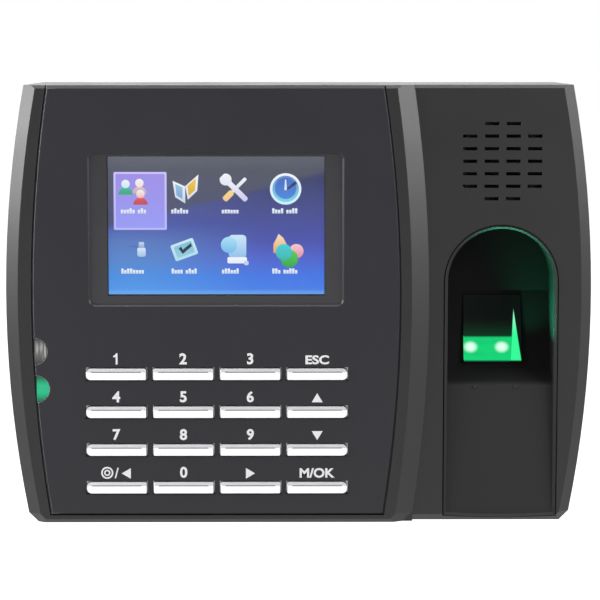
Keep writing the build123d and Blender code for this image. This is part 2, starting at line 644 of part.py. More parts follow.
def vertical_corners(shape, x):
    """The edges along Y at one end of a key."""
    return [e for e in shape.edges().filter_by(Axis.Y) if abs(e.center().X - x) < 0.01]


def make_keypad():
    for row, names in enumerate(KEY_NAMES):
        for column, name in enumerate(names):
            save(name, make_key(row, column))
    span_x = 3 * KEY_PITCH_X + KEY_W + 2 * MAT_MARGIN_X
    span_z = 3 * KEY_PITCH_Z + KEY_H + 2 * MAT_MARGIN_Z
    mat_h = KEYPAD_BOARD_H + BOARD_T
    mat = slab(rect(PANEL_X, KEYPAD_Z, span_x, span_z, 2), mat_h, mat_h + MAT_T)
    mat = cut_all(
        mat,
        [rod(x, z, SMALL_BOSS_R + SCREW_FIT, mat_h, mat_h + MAT_T) for x, z in keypad_screw_places()],
    )
    mat += fuse_all(
        [slab(rect(x, z, KEY_W / 2, KEY_H, 1), mat_h, mat_h + MAT_T + DOME_T) for x, z in key_places()]
    )
    save("keypad_mat", mat)
    board = slab(rect(PANEL_X, KEYPAD_Z, span_x, span_z + 2 * KEYPAD_BOARD_MARGIN, 1), KEYPAD_BOARD_H, mat_h)
    board = cut_all(
        board,
        [rod(x, z, SMALL_SCREW_R + SCREW_FIT, KEYPAD_BOARD_H, mat_h) for x, z in keypad_screw_places()],
    )
    save("keypad_board", board)
    cable_z = KEYPAD_Z + span_z / 2 - 4
    cable = block(PANEL_X - 9, PANEL_X + 9, cable_z, cable_z + 0.4, BOARD_FRONT_H, KEYPAD_BOARD_H)
    save("keypad_cable", cable)


# ---------------------------------------------------------------- finger bay and sensor
def floor_path(drop=0.0):
    """The bay's floor from its foot to its top as (z, h) points, drop behind its face."""
    points = [
        (RAMP_FOOT - RAMP_FOOT_BOW - 2 * BAY_WALL, RAMP_FOOT_D + drop),
        (RAMP_TOP - 0.55 * drop, RAMP_TOP_D + drop),
        (SHELF_TOP - 0.75 * drop, SHELF_D + 0.6 * drop),
        (GLASS_TOP - 0.2 * drop, BAY_D + drop),
        (BAY_TOP_FROM_BOTTOM + BAY_WALL, BAY_D + drop),
    ]
    return [(BOTTOM + up, PANEL_H - depth) for up, depth in points]


def glass_outline(grow=0.0):
    """The glass block seen from the side: its front leans back towards its top."""
    low, high = BOTTOM + GLASS_LOW, BOTTOM + GLASS_LOW + GLASS_H
    slope = (BAY_D - SHELF_D) / (GLASS_TOP - SHELF_TOP)
    low_h = PANEL_H - SHELF_D - (GLASS_LOW - SHELF_TOP) * slope
    high_h = low_h - GLASS_H * slope
    rear = PANEL_H - BAY_D - 3.5
    return [
        (low - grow, low_h + GLASS_PROUD_LOW),
        (high + grow, high_h + GLASS_PROUD_TOP),
        (high + grow, rear - grow),
        (low - grow, rear - grow),
    ]


def make_finger_guide():
    tube = slab(arch_outline(BAY_WALL), PANEL_H - BAY_D - BAY_FLOOR_T, PANEL_H + BAY_RIM)
    tube -= slab(arch_outline(), PANEL_H - BAY_D - BAY_FLOOR_T, PANEL_H + BAY_RIM)
    x0, x1 = BAY_X - BAY_HALF_W - BAY_WALL, BAY_X + BAY_HALF_W + BAY_WALL
    behind = floor_path(BAY_FLOOR_T) + [(BAY_TOP + 9, -9), (BOTTOM - 9, -9), (BOTTOM - 9, PANEL_H - 4)]
    tube -= profile(behind, x0 - 1, x1 + 1)
    strip = profile(floor_path() + floor_path(BAY_FLOOR_T)[::-1], x0, x1)
    strip = strip & slab(arch_outline(BAY_WALL), 0, PANEL_H + BAY_RIM)
    flange_h = PANEL_H - WALL
    flange = slab(arch_outline(BAY_WALL + GUIDE_FLANGE_W), flange_h - GUIDE_FLANGE_T, flange_h)
    flange -= slab(arch_outline(), flange_h - GUIDE_FLANGE_T, flange_h)
    flange -= slab(rect(BAY_X, BOTTOM, WIDTH, 2 * RAMP_TOP), flange_h - GUIDE_FLANGE_T, flange_h)
    guide = tube + strip + flange
    rim = between(
        PANEL_H + BAY_RIM - 0.7,
        arch_outline(0.01),
        PANEL_H + BAY_RIM,
        arch_outline(BAY_WALL - 0.3),
    )
    guide -= rim
    glass_x0, glass_x1 = SENSOR_X - GLASS_W / 2 - SENSOR_FIT, SENSOR_X + GLASS_W / 2 + SENSOR_FIT
    return guide - profile(glass_outline(SENSOR_FIT), glass_x0, glass_x1)


def make_sensor():
    half = SENSOR_W / 2
    high_z = BOTTOM + GLASS_TOP + SENSOR_TOP_CLEAR
    low_z = high_z - SENSOR_LENGTH
    rear = PANEL_H - BAY_D - BAY_FLOOR_T - SENSOR_DEPTH
    shelf_z, shelf_h = floor_path(BAY_FLOOR_T)[2]
    glass_z, glass_h = floor_path(BAY_FLOOR_T)[3]
    front = shelf_h - ROOT
    outline = [
        (low_z, rear),
        (low_z, front),
        (shelf_z + SENSOR_FIT, shelf_h - SENSOR_SKIN),
        (glass_z, glass_h - SENSOR_SKIN),
        (high_z, glass_h - SENSOR_SKIN),
        (high_z, rear),
    ]
    housing = profile(outline, SENSOR_X - half, SENSOR_X + half)
    housing -= profile(glass_outline(), SENSOR_X - GLASS_W / 2, SENSOR_X + GLASS_W / 2)
    light_h0, light_h1 = rear + SENSOR_WALL, front - SENSOR_WALL + 2 * SENSOR_FIT
    glass_low = BOTTOM + GLASS_LOW
    inner = half - SENSOR_WALL
    housing -= block(SENSOR_X - inner, SENSOR_X + inner, low_z, glass_low, light_h0, light_h1)
    save("sensor_housing", housing)
    save("sensor_glass", profile(glass_outline(), SENSOR_X - GLASS_W / 2, SENSOR_X + GLASS_W / 2))
    board = block(SENSOR_X - half, SENSOR_X + half, low_z - BOARD_T, low_z, rear, front)
    save("sensor_board", board)
    lens_h = (light_h0 + light_h1) / 2
    nose_z, tip_z = low_z + CAMERA_L, low_z + CAMERA_L + CAMERA_NOSE_L
    barrel = upright(SENSOR_X, lens_h, CAMERA_R, low_z, nose_z)
    barrel += upright(SENSOR_X, lens_h, CAMERA_NOSE_R, nose_z, tip_z)
    save("sensor_camera", barrel - upright(SENSOR_X, lens_h, CAMERA_LENS_R, nose_z + 0.5, tip_z))
    leds = [
        upright(SENSOR_X + side * LAMP_SPREAD, lens_h, LAMP_R, low_z, low_z + LAMP_L)
        + Pos(SENSOR_X + side * LAMP_SPREAD, -lens_h, low_z + LAMP_L) * Sphere(LAMP_R)
        for side in (-1, 1)
    ]
    save_group("sensor_lamps", leds)
    cable_h = rear + 1.0
    cable = block(BOARD_RIGHT - 6, SENSOR_X - 4, low_z - BOARD_T - 0.4, low_z - BOARD_T, cable_h, cable_h + 7)
    save("sensor_cable", cable)


# ---------------------------------------------------------------- speaker
def make_speaker():
    front = PANEL_H - WALL
    x, z = BAY_X, GRILLE_Z
    gasket = rod(x, z, SPEAKER_R, front - GASKET_T, front) - rod(
        x, z, SPEAKER_R - 2, front - GASKET_T, front
    )
    save("speaker_gasket", gasket)
    top = front - GASKET_T
    rear = top - SPEAKER_D
    frame = rod(x, z, SPEAKER_R, rear, top) - rod(x, z, SPEAKER_R - FRAME_T, rear + FRAME_T, top)
    frame -= rod(x, z, MAGNET_R - 3, rear, rear + FRAME_T)
    save("speaker_frame", frame)
    place = Pos(x, -(rear + FRAME_T + 0.2), z) * Rot(90, 0, 0)
    outer = Pos(0, 0, CONE_L / 2) * Cone(CONE_NECK_R, SPEAKER_R - CONE_MARGIN, CONE_L)
    inner = Pos(0, 0, CONE_L / 2 + CONE_T) * Cone(CONE_NECK_R, SPEAKER_R - CONE_MARGIN, CONE_L)
    save("speaker_cone", place * (outer - inner))
    save("speaker_magnet", rod(x, z, MAGNET_R, rear - MAGNET_T, rear))


# ---------------------------------------------------------------- main board and what is on it
class Socket:
    """A connector on the main board's rear face whose mouth opens down into the bay."""

    def __init__(self, x, width, thickness, length):
        self.x, self.width, self.thickness, self.length = x, width, thickness, length
        self.h0, self.h1 = MAIN_BOARD_H - thickness, MAIN_BOARD_H
        self.mouth_z = PORT_TOP_Z

    def body(self):
        half = self.width / 2
        return block(
            self.x - half, self.x + half, self.mouth_z, self.mouth_z + self.length, self.h0, self.h1
        )

    def aperture(self):
        """The hole that it takes in the bay's wall and ceiling."""
        half = self.width / 2 + PORT_FIT
        low = self.h0 - PORT_FIT
        return block(
            self.x - half, self.x + half, self.mouth_z - 0.1, self.mouth_z + FLOOR_T + 1, low, self.h1
        )


NETWORK = Socket(BAY_PORT_X - 22, JACK_W, JACK_T, JACK_L)
POWER = Socket(BAY_PORT_X - 5, 9.0, 11.0, 14.0)
TERMINALS = Socket(BAY_PORT_X + 17, 28.0, 10.0, 12.0)
SOCKETS = [NETWORK, POWER, TERMINALS]
LOCK_SCREW_H = PLATE_T + LOCK_FLANGE_D / 2 + 0.5


def make_main_board():
    width, height = BOARD_RIGHT - BOARD_LEFT, BOARD_TOP - BOARD_LOW
    centre = (BOARD_RIGHT + BOARD_LEFT) / 2, (BOARD_TOP + BOARD_LOW) / 2
    board = slab(rect(*centre, width, height, 2), MAIN_BOARD_H, BOARD_FRONT_H)
    holes = [
        rod(x, z, SMALL_SCREW_R + SCREW_FIT, MAIN_BOARD_H, BOARD_FRONT_H)
        for x, z in board_screw_places()
    ]
    return cut_all(board, holes)


def make_sockets():
    network = NETWORK.body()
    half, low = JACK_PORT_W / 2, NETWORK.h0 + 1.2
    network -= block(
        NETWORK.x - half,
        NETWORK.x + half,
        PORT_TOP_Z,
        PORT_TOP_Z + JACK_PORT_L,
        low,
        low + JACK_PORT_T,
    )
    save("network_jack", network)
    power_h = (POWER.h0 + POWER.h1) / 2
    power = POWER.body() - upright(POWER.x, power_h, POWER_MOUTH_R, PORT_TOP_Z, PORT_TOP_Z + POWER_DEEP)
    power += upright(POWER.x, power_h, POWER_PIN_R, PORT_TOP_Z + 1, PORT_TOP_Z + POWER_DEEP + 0.5)
    save("power_jack", power)
    first = TERMINALS.x - (TERMINAL_COUNT - 1) / 2 * TERMINAL_PITCH
    columns = [first + i * TERMINAL_PITCH for i in range(TERMINAL_COUNT)]
    entry_h, head_h = TERMINALS.h0 + 3, TERMINALS.h0 + 7
    entries = [upright(x, entry_h, TERMINAL_ENTRY_R, PORT_TOP_Z, PORT_TOP_Z + 8) for x in columns]
    heads = [upright(x, head_h, TERMINAL_SCREW_R, PORT_TOP_Z, PORT_TOP_Z + 1) for x in columns]
    save("terminal_block", cut_all(TERMINALS.body(), entries + heads))
    usb_low = BOTTOM + 0.3
    usb = block(
        USB_X - USB_W / 2, USB_X + USB_W / 2, usb_low, usb_low + USB_L, BOARD_FRONT_H, BOARD_FRONT_H + USB_T
    )
    usb -= block(
        USB_X - USB_W / 2 + USB_WALL,
        USB_X + USB_W / 2 - USB_WALL,
        usb_low,
        usb_low + USB_L - 2,
        BOARD_FRONT_H + USB_WALL,
        BOARD_FRONT_H + USB_T - USB_WALL,
    )
    usb += block(
        USB_X - USB_W / 2 + 1,
        USB_X + USB_W / 2 - 1,
        usb_low + 1,
        usb_low + USB_L - 1,
        BOARD_FRONT_H + 3.2,
        BOARD_FRONT_H + 5.0,
    )
    save("usb_port", usb)


def make_board_parts():
    save("main_board", make_main_board())
    make_sockets()
    middle = (BOARD_LEFT + BOARD_RIGHT) / 2
    chips = [
        block(middle - 24, middle - 10, SCREEN_Z + 2, SCREEN_Z + 16, BOARD_FRONT_H, BOARD_FRONT_H + 1.4),
        block(middle + 4, middle + 16, SCREEN_Z + 4, SCREEN_Z + 12, BOARD_FRONT_H, BOARD_FRONT_H + 1.2),
        block(middle - 24, middle - 12, SCREEN_Z - 14, SCREEN_Z - 4, BOARD_FRONT_H, BOARD_FRONT_H + 1.2),
    ]
    save_group("board_chips", chips)
    relay = block(NETWORK.x - 2, NETWORK.x + 17, 10, 25, MAIN_BOARD_H - 9, MAIN_BOARD_H)
    save("door_relay", relay)
    cell_x, cell_z = middle, BOARD_TOP - 16
    seat = MAIN_BOARD_H - 1.2
    cell = rod(cell_x, cell_z, CELL_R, seat - CELL_T, seat)
    holder = rod(cell_x, cell_z, CELL_R + 1.2, MAIN_BOARD_H - 4.0, MAIN_BOARD_H)
    holder -= rod(cell_x, cell_z, CELL_R + 0.05, MAIN_BOARD_H - 4.0, seat)
    save("clock_cell", cell)
    save("cell_holder", holder)
    switch_t = 4.0
    switch_h = MAIN_BOARD_H - switch_t
    tamper = block(TAMPER_X - 3.1, TAMPER_X + 3.1, TAMPER_Z - 3.1, TAMPER_Z + 3.1, switch_h, MAIN_BOARD_H)
    well = 2.0
    tamper -= rod(TAMPER_X, TAMPER_Z, PLUNGER_R + PLUNGER_FIT, switch_h, switch_h + well)
    save("tamper_switch", tamper)
    plunger = rod(TAMPER_X, TAMPER_Z, PLUNGER_R, PLATE_T, switch_h + well - SWITCH_TRAVEL - 0.3)
    save("tamper_plunger", plunger)
    reset_h, reset_z = BOARD_FRONT_H + 2.0, BOTTOM + WALL + 4.0
    reset = block(RESET_X - 3, RESET_X + 3, reset_z, reset_z + 6, BOARD_FRONT_H, BOARD_FRONT_H + 4)
    reset -= upright(RESET_X, reset_h, RESET_R + PLUNGER_FIT, reset_z, reset_z + well)
    save("reset_switch", reset)
    button = upright(
        RESET_X, reset_h, RESET_R, BOTTOM + WALL + 0.8, reset_z + well - SWITCH_TRAVEL - 0.3
    )
    save("reset_button", button)
    lens_low, lens_high = lens_places()
    board_h = SEAT_REAR_H - 4.5
    status_x = face_left_at(lens_low) + LENS_W / 2 + 1
    status = block(status_x - 3.5, status_x + 3.5, lens_low - 8, lens_high + 8, board_h, board_h + 1.2)
    save("status_board", status)
    lamps = [
        block(status_x - 1.7, status_x + 1.1, z - 1.4, z + 1.4, board_h + 1.2, board_h + 2.4)
        for z in (lens_low, lens_high)
    ]
    save_group("status_lamps", lamps)


# ---------------------------------------------------------------- wall plate and screws
def make_wall_plate():
    plate = slab(plate_outline(), 0, PLATE_T)
    plate = cut_all(plate, [rod(x, z, WALL_HOLE_R, 0, PLATE_T) for x, z in wall_hole_places()])
    plate -= slab(
        rect(BAY_PORT_X, (PORT_TOP_Z + PORT_LOW_Z) / 2, BAY_PORT_W - 2, BAY_PORT_H - 2, 3), 0, PLATE_T
    )
    for x, z in hook_places():
        stem_h = FLOOR_H + 0.2 + PLATE_T
        plate += block(x - HOOK_W / 2, x + HOOK_W / 2, z - PLATE_T, z, 0, stem_h)
        plate += block(x - HOOK_W / 2, x + HOOK_W / 2, z - PLATE_T, z + HOOK_RISE, stem_h - PLATE_T, stem_h)
        plate -= block(x - HOOK_W / 2, x + HOOK_W / 2, z, z + HOOK_RISE + 1, 0, PLATE_T)
    low = -PLATE_H / 2
    half = LOCK_FLANGE_W / 2
    plate += block(-half, half, low, low + PLATE_T, 0, PLATE_T + LOCK_FLANGE_D)
    return plate - upright(0, LOCK_SCREW_H, SCREW_R + 0.05, low - 1, low + PLATE_T + 1)


def make_screws():
    case = []
    for x, z in case_screw_places():
        under_ramp = x > BAY_X and z < 0
        tip = PANEL_H - 9.0 if under_ramp else PANEL_H - 7.0
        screw = rod(x, z, SCREW_R, SCREW_SEAT_H, tip)
        screw += rod(x, z, SCREW_HEAD_R, SCREW_SEAT_H - SCREW_HEAD_T, SCREW_SEAT_H)
        case.append(screw - cross_recess(x, z, SCREW_SEAT_H - SCREW_HEAD_T))
    save_group("case_screws", case)
    boards = []
    for x, z in keypad_screw_places():
        boards.append(small_screw(x, z, KEYPAD_BOARD_H, 1, SEAT_H - 1.4 - KEYPAD_BOARD_H))
    for x, z in board_screw_places():
        boards.append(small_screw(x, z, BOARD_FRONT_H, -1, 8.0))
    save_group("board_screws", boards)
    low = -PLATE_H / 2
    tip, seat = low + PLATE_T + 3, BOTTOM
    lock = upright(0, LOCK_SCREW_H, SCREW_R, seat, tip)
    lock += upright(0, LOCK_SCREW_H, SCREW_HEAD_R, seat - 1.2, seat)
    slot = block(-0.4, 0.4, seat - 1.3, seat - 0.5, LOCK_SCREW_H - 3, LOCK_SCREW_H + 3)
    save("lock_screw", lock - slot)


def small_screw(x, z, seat, way, length):
    """way is 1 for a tip that points away from the wall."""
    shank = rod(x, z, SMALL_SCREW_R, min(seat, seat + way * length), max(seat, seat + way * length))
    head = rod(x, z, SMALL_HEAD_R, min(seat, seat - way * SMALL_HEAD_T), max(seat, seat - way * SMALL_HEAD_T))
    return shank + head


def cross_recess(x, z, h):
    arm, blade, deep = 1.6, 0.5, 1.0
    return block(x - arm, x + arm, z - blade / 2, z + blade / 2, h, h + deep) + block(
        x - blade / 2, x + blade / 2, z - arm, z + arm, h, h + deep
    )


def main():
    os.makedirs("parts", exist_ok=True)
    save("front_shell", make_front_shell())
    save("back_shell", make_back_shell())
    save("faceplate", make_faceplate())
    upper, lower = make_status_lenses()
    save("status_lens_upper", upper)
    save("status_lens_lower", lower)
    make_display()
    make_keypad()
    save("finger_guide", make_finger_guide())
    make_sensor()
    make_speaker()
    make_board_parts()
    save("wall_plate", make_wall_plate())
    make_screws()


main()
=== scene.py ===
# %% [markdown]
# # A wall-hung fingerprint scanner terminal
# The hard parts come from a CAD model as named nodes, in metres and already in place: +Z is up, the front
# faces -Y and the wall is the plane y = 0. This script gives every node its finish, adds what is too fine
# for the CAD (the picture on the screen, the printed legends, two pips on the finger ramp), and lights it.

# %% Load the frame
import json
import random
from math import cos, pi, radians, sin

import bmesh
import bpy
from mathutils import Matrix, Vector


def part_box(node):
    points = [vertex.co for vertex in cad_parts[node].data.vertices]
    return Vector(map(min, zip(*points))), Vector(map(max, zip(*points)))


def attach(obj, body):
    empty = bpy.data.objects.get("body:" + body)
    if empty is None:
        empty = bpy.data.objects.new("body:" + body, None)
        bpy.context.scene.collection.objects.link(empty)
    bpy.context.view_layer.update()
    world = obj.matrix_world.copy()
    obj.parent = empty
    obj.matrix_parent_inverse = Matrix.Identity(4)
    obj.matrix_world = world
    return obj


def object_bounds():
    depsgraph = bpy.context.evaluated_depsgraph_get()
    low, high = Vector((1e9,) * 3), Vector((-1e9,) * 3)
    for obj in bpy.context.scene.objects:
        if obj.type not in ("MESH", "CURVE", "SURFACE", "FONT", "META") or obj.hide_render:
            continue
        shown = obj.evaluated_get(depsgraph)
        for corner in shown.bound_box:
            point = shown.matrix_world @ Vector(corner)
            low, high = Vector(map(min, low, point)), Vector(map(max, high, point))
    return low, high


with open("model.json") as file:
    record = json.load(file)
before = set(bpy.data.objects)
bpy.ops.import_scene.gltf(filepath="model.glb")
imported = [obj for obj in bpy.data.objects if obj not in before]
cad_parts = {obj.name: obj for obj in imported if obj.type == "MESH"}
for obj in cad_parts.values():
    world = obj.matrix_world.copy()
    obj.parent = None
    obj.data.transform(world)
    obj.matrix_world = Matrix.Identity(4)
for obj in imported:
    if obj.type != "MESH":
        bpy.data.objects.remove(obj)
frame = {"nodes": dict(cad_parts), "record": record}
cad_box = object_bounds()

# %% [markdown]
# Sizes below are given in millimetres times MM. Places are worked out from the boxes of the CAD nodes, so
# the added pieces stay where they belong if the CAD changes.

MM = 0.001
nodes = frame["nodes"]
slot_of = {part["node"]: part["material_slot"] for part in frame["record"]["subparts"]}


def centre_of(node):
    low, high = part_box(node)
    return (low + high) / 2


print(len(nodes), "nodes,", len(set(slot_of.values())), "finishes")

# %% [markdown]
# ## Writing shaders as arithmetic
# A pattern such as a grain or a lit bar is a formula over the place on the surface. `Wire` wraps a socket,
# so that `1 - mask * 0.5` adds the Math nodes by itself. `Finish` is one material round one Principled
# shader, with the few patterns that plastic, metal and glass share.


# %% Wire and Finish
class Wire:
    """An output socket that takes part in arithmetic: each operation adds one Math node."""

    def __init__(self, finish, socket):
        self.finish, self.socket = finish, socket

    def maths(self, operation, *others):
        sockets = dict(enumerate([self, *others]))
        return self.finish.node("ShaderNodeMath", {"operation": operation}, sockets)

    def __add__(self, other):
        return self.maths("ADD", other)

    def __sub__(self, other):
        return self.maths("SUBTRACT", other)

    def __rsub__(self, other):
        return self.maths("MULTIPLY_ADD", -1.0, other)

    def __mul__(self, other):
        return self.maths("MULTIPLY", other)

    def __truediv__(self, other):
        return self.maths("DIVIDE", other)

    def __abs__(self):
        return self.maths("ABSOLUTE")

    __radd__ = __add__


class Finish:
    """A material round one Principled shader. Its patterns read Object coordinates, in metres."""

    def __init__(self, name, color, roughness, **constants):
        self.material = bpy.data.materials.new(name)
        self.material.use_nodes = True
        self.tree = self.material.node_tree
        self.shader = self.tree.nodes["Principled BSDF"]
        self.normal = None
        self.place = self.node("ShaderNodeTexCoord", output="Object")
        self.set("Base Color", color)
        self.set("Roughness", roughness)
        for socket, value in constants.items():
            self.set(socket.replace("_", " "), value)

    def node(self, kind, settings=None, inputs=None, output=0):
        """Adds a node: first its settings, then a value or a wire for each socket. Gives one output."""
        made = self.tree.nodes.new(kind)
        for key, value in (settings or {}).items():
            setattr(made, key, value)
        for key, value in (inputs or {}).items():
            self.feed(made.inputs[key], value)
        return Wire(self, made.outputs[output])

    def feed(self, socket, value):
        if isinstance(value, Wire):
            self.tree.links.new(value.socket, socket)
        elif socket.type == "RGBA":
            socket.default_value = (*value, 1.0)
        else:
            socket.default_value = value

    def set(self, socket, value):
        self.feed(self.shader.inputs[socket], value)

    def split(self, vector):
        """The x, y and z of a vector, as three wires."""
        parts = self.node("ShaderNodeSeparateXYZ", inputs={"Vector": vector}).socket.node.outputs
        return [Wire(self, parts[axis]) for axis in "XYZ"]

    def noise(self, size, detail=2.0, stretch=(1, 1, 1)):
        """Cloudy noise from 0 to 1 with blotches of about that size, longer where stretch is above 1."""
        scale = tuple(1 / (size * s) for s in stretch)
        place = self.node("ShaderNodeMapping", inputs={"Vector": self.place, "Scale": scale})
        inputs = {"Vector": place, "Scale": 1.0, "Detail": detail}
        return self.node("ShaderNodeTexNoise", inputs=inputs)

    def cells(self, size, output="Distance"):
        """Irregular cells of that size: the distance from each middle, or a random colour for each."""
        inputs = {"Vector": self.place, "Scale": 1 / size}
        return self.node("ShaderNodeTexVoronoi", inputs=inputs, output=output)

    def step(self, value, low, high):
        """0 below low, 1 above high, and smooth between them."""
        inputs = {"Value": value, "From Min": low, "From Max": high}
        return self.node("ShaderNodeMapRange", {"interpolation_type": "SMOOTHSTEP"}, inputs)

    def mix(self, first, second, share):
        """The colour first where share is 0 and second where it is 1."""
        sockets = {0: share, 6: first, 7: second}
        return self.node("ShaderNodeMix", {"data_type": "RGBA"}, sockets, 2)

    def round_edges(self, radius):
        """Makes hard edges catch the light as if they were rounded."""
        self.normal = self.node("ShaderNodeBevel", {"samples": 4}, {"Radius": radius})
        self.set("Normal", self.normal)

    def relief(self, height, depth):
        """Raises the surface by up to depth where height is 1."""
        inputs = {"Height": height, "Distance": depth, "Strength": 1.0}
        if self.normal:
            inputs["Normal"] = self.normal
        self.normal = self.node("ShaderNodeBump", inputs=inputs)
        self.set("Normal", self.normal)


def srgb(red, green, blue):
    """A colour given as a display shows it, from 0 to 255, in the linear values that shaders use."""
    return tuple(((c / 255 + 0.055) / 1.055) ** 2.4 for c in (red, green, blue))


# %% [markdown]
# ## Moulded plastic
# The housing is injection moulded ABS with a fine spark-eroded grain. The grain scatters the light, the sheen
# differs in wide faint patches, and hard edges catch a highlight. A little dust settles on what faces up. The
# faceplate is the same plastic with a finer grain and a trace of blue, and the finger bay is matt so that it
# doesn't reflect stray light into the sensor; deeper in, the bay's colour is darkened as painted shade for
# the shadow there.


# %% Moulded plastics
EDGE_R = 0.2 * MM  # how round the edges look
PATCH = 22 * MM


def grained(name, color, roughness, grain, depth, **constants):
    """Plastic with a grain, whose size and depth are in millimetres."""
    made = Finish(name, color, roughness, **constants)
    made.round_edges(EDGE_R)
    made.relief(made.noise(grain * MM, 1), depth * MM)
    return made


def patchy(made, roughness):
    """Lets the sheen differ in wide faint patches, and gives the patches."""
    patches = made.noise(PATCH, 3)
    made.set("Roughness", roughness + (patches - 0.5) * 0.14)
    return patches


def moulded(name, color, roughness, grain, depth, **constants):
    """Grained plastic with patches, where it is also a little paler."""
    made = grained(name, color, roughness, grain, depth, **constants)
    paler = tuple(1.25 * c + 0.002 for c in color)
    made.set("Base Color", made.mix(color, paler, made.step(patchy(made, roughness), 0.4, 0.7)))
    return made


def black_shell():
    """The housing, with dust on what faces up."""
    color, dust_color, roughness = (0.0088, 0.0088, 0.0094), (0.2, 0.19, 0.18), 0.38
    made = grained("black_shell", color, roughness, 0.34, 0.009, Specular_IOR_Level=0.34)
    patchy(made, roughness)
    facing_up = made.split(made.node("ShaderNodeNewGeometry", output="Normal"))[2]
    dust = made.step(facing_up, 0.6, 0.95) * made.step(made.noise(5 * MM, 5), 0.3, 0.8)
    made.set("Base Color", made.mix(color, dust_color, dust * 0.16))
    return made


def face_black():
    """The faceplate. Along the groove its left edge is paler: a painted highlight where its rounded edge
    catches the light.
    """
    color, painted_highlight_color, roughness = (0.0098, 0.0094, 0.0122), (0.3, 0.3, 0.3), 0.4
    made = grained("face_black", color, roughness, 0.2, 0.005, Specular_IOR_Level=0.3)
    patchy(made, roughness)
    flat = made.node("ShaderNodeNewGeometry", output="Normal")
    rounded = made.node("ShaderNodeBevel", {"samples": 4}, {"Radius": 0.3 * MM})
    facing = made.node("ShaderNodeVectorMath", {"operation": "DOT_PRODUCT"}, {0: flat, 1: rounded}, "Value")
    from_left = made.split(made.place)[0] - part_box("faceplate")[0].x
    # painted highlight: near the groove, the faceplate's left edge is made pale where the rounded normal
    # leaves the flat one
    wear_and_painted_highlight = (1 - made.step(from_left, 7 * MM, 9 * MM)) * (1 - made.step(facing, 0.8, 0.98))
    made.set("Base Color", made.mix(color, painted_highlight_color, wear_and_painted_highlight))
    return made


def bay_black():
    """The finger bay: grained on the ramp, and further in matt, its colour darkened as painted shade for the
    shadow inside the bay.
    """
    ramp_color, painted_shade_color, roughness = (0.0125, 0.0125, 0.013), (0.0025, 0.0025, 0.0025), 0.5
    made = grained("bay_black", ramp_color, roughness, 0.28, 0.009, Specular_IOR_Level=0.16)
    depth = made.split(made.place)[1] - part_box("finger_guide")[0].y
    # painted shade: deeper in, the colour darkens towards near black where the bay lies in its own shadow;
    # the surface turns rougher too
    painted = made.step(depth, 2.6 * MM, 5.5 * MM)
    made.set("Base Color", made.mix(ramp_color, painted_shade_color, painted))
    made.set("Roughness", roughness + painted * 0.4)
    return made


def chip_black():
    """Epoxy with a fine speckle of its filler."""
    color, roughness = (0.025, 0.025, 0.027), 0.55
    made = grained("chip_black", color, roughness, 0.15, 0.004)
    patchy(made, roughness)
    speckle = made.step(made.noise(0.12 * MM, 1), 0.62, 0.72)
    made.set("Base Color", made.mix(color, (0.09, 0.09, 0.09), speckle))
    return made


# %% [markdown]
# The small parts inside are of plain glossy plastics. Natural white parts are slightly translucent.


# %% Small plastics, rubber and foam
def white_plastic():
    return moulded("white_plastic", (0.78, 0.77, 0.74), 0.38, 0.5, 0.003, Subsurface_Weight=0.15)


def relay_blue():
    return moulded("relay_blue", (0.02, 0.1, 0.42), 0.3, 0.4, 0.003, Coat_Weight=0.3)


def terminal_green():
    return moulded("terminal_green", (0.02, 0.24, 0.09), 0.38, 0.3, 0.004)


def silicone():
    """Milky rubber with a dull bloom and a little lint."""
    made = moulded("silicone", (0.33, 0.34, 0.35), 0.66, 0.25, 0.006, Subsurface_Weight=0.2)
    lint = made.step(made.noise(0.5 * MM, 3, (8, 1, 1)), 0.68, 0.75)
    made.set("Roughness", 0.6 + lint * 0.3)
    return made


def black_foam():
    """Open-cell foam: pits between walls, the pits darker than the walls as painted shade."""
    made = Finish("black_foam", (0.014, 0.014, 0.015), 0.95)
    pits = made.step(made.cells(0.5 * MM), 0.1, 0.6)
    # painted shade: the low pits are darker than the walls around them
    made.set("Base Color", made.mix((0.004, 0.004, 0.004), (0.03, 0.03, 0.032), pits))
    made.relief(pits, 0.12 * MM)
    return made


def paper_cone():
    """Pressed paper pulp: short fibres, dyed black."""
    made = Finish("paper_cone", (0.03, 0.028, 0.026), 0.85)
    fibres = made.noise(0.3 * MM, 4, (6, 6, 1))
    made.set("Base Color", made.mix((0.018, 0.017, 0.016), (0.07, 0.066, 0.06), fibres))
    made.relief(fibres, 0.05 * MM)
    return made


# %% [markdown]
# ## Metals
# Rolled sheet keeps fine lines along its rolling direction, zinc that is hot-dipped freezes in spangles
# that each reflect differently, and turned or plated parts are smoother with patches of dull oxide.


# %% Metals
def brushed(name, color, roughness, stretch):
    made = Finish(name, color, roughness, Metallic=1.0)
    made.round_edges(0.1 * MM)
    lines = made.noise(0.15 * MM, 3, stretch)
    tarnish = made.noise(9 * MM, 3)
    darker = tuple(0.72 * c for c in color)
    made.set("Base Color", made.mix(color, darker, made.step(tarnish, 0.45, 0.75)))
    made.set("Roughness", roughness + (lines - 0.5) * 0.2 + (tarnish - 0.5) * 0.12)
    made.relief(lines, 0.002 * MM)
    return made


def tin_sheet():
    return brushed("tin_sheet", (0.6, 0.6, 0.58), 0.34, (30, 1, 1))


def bright_steel():
    return brushed("bright_steel", (0.7, 0.7, 0.69), 0.24, (1, 1, 25))


def zinc_steel():
    return brushed("zinc_steel", (0.62, 0.62, 0.6), 0.3, (1, 1, 1))


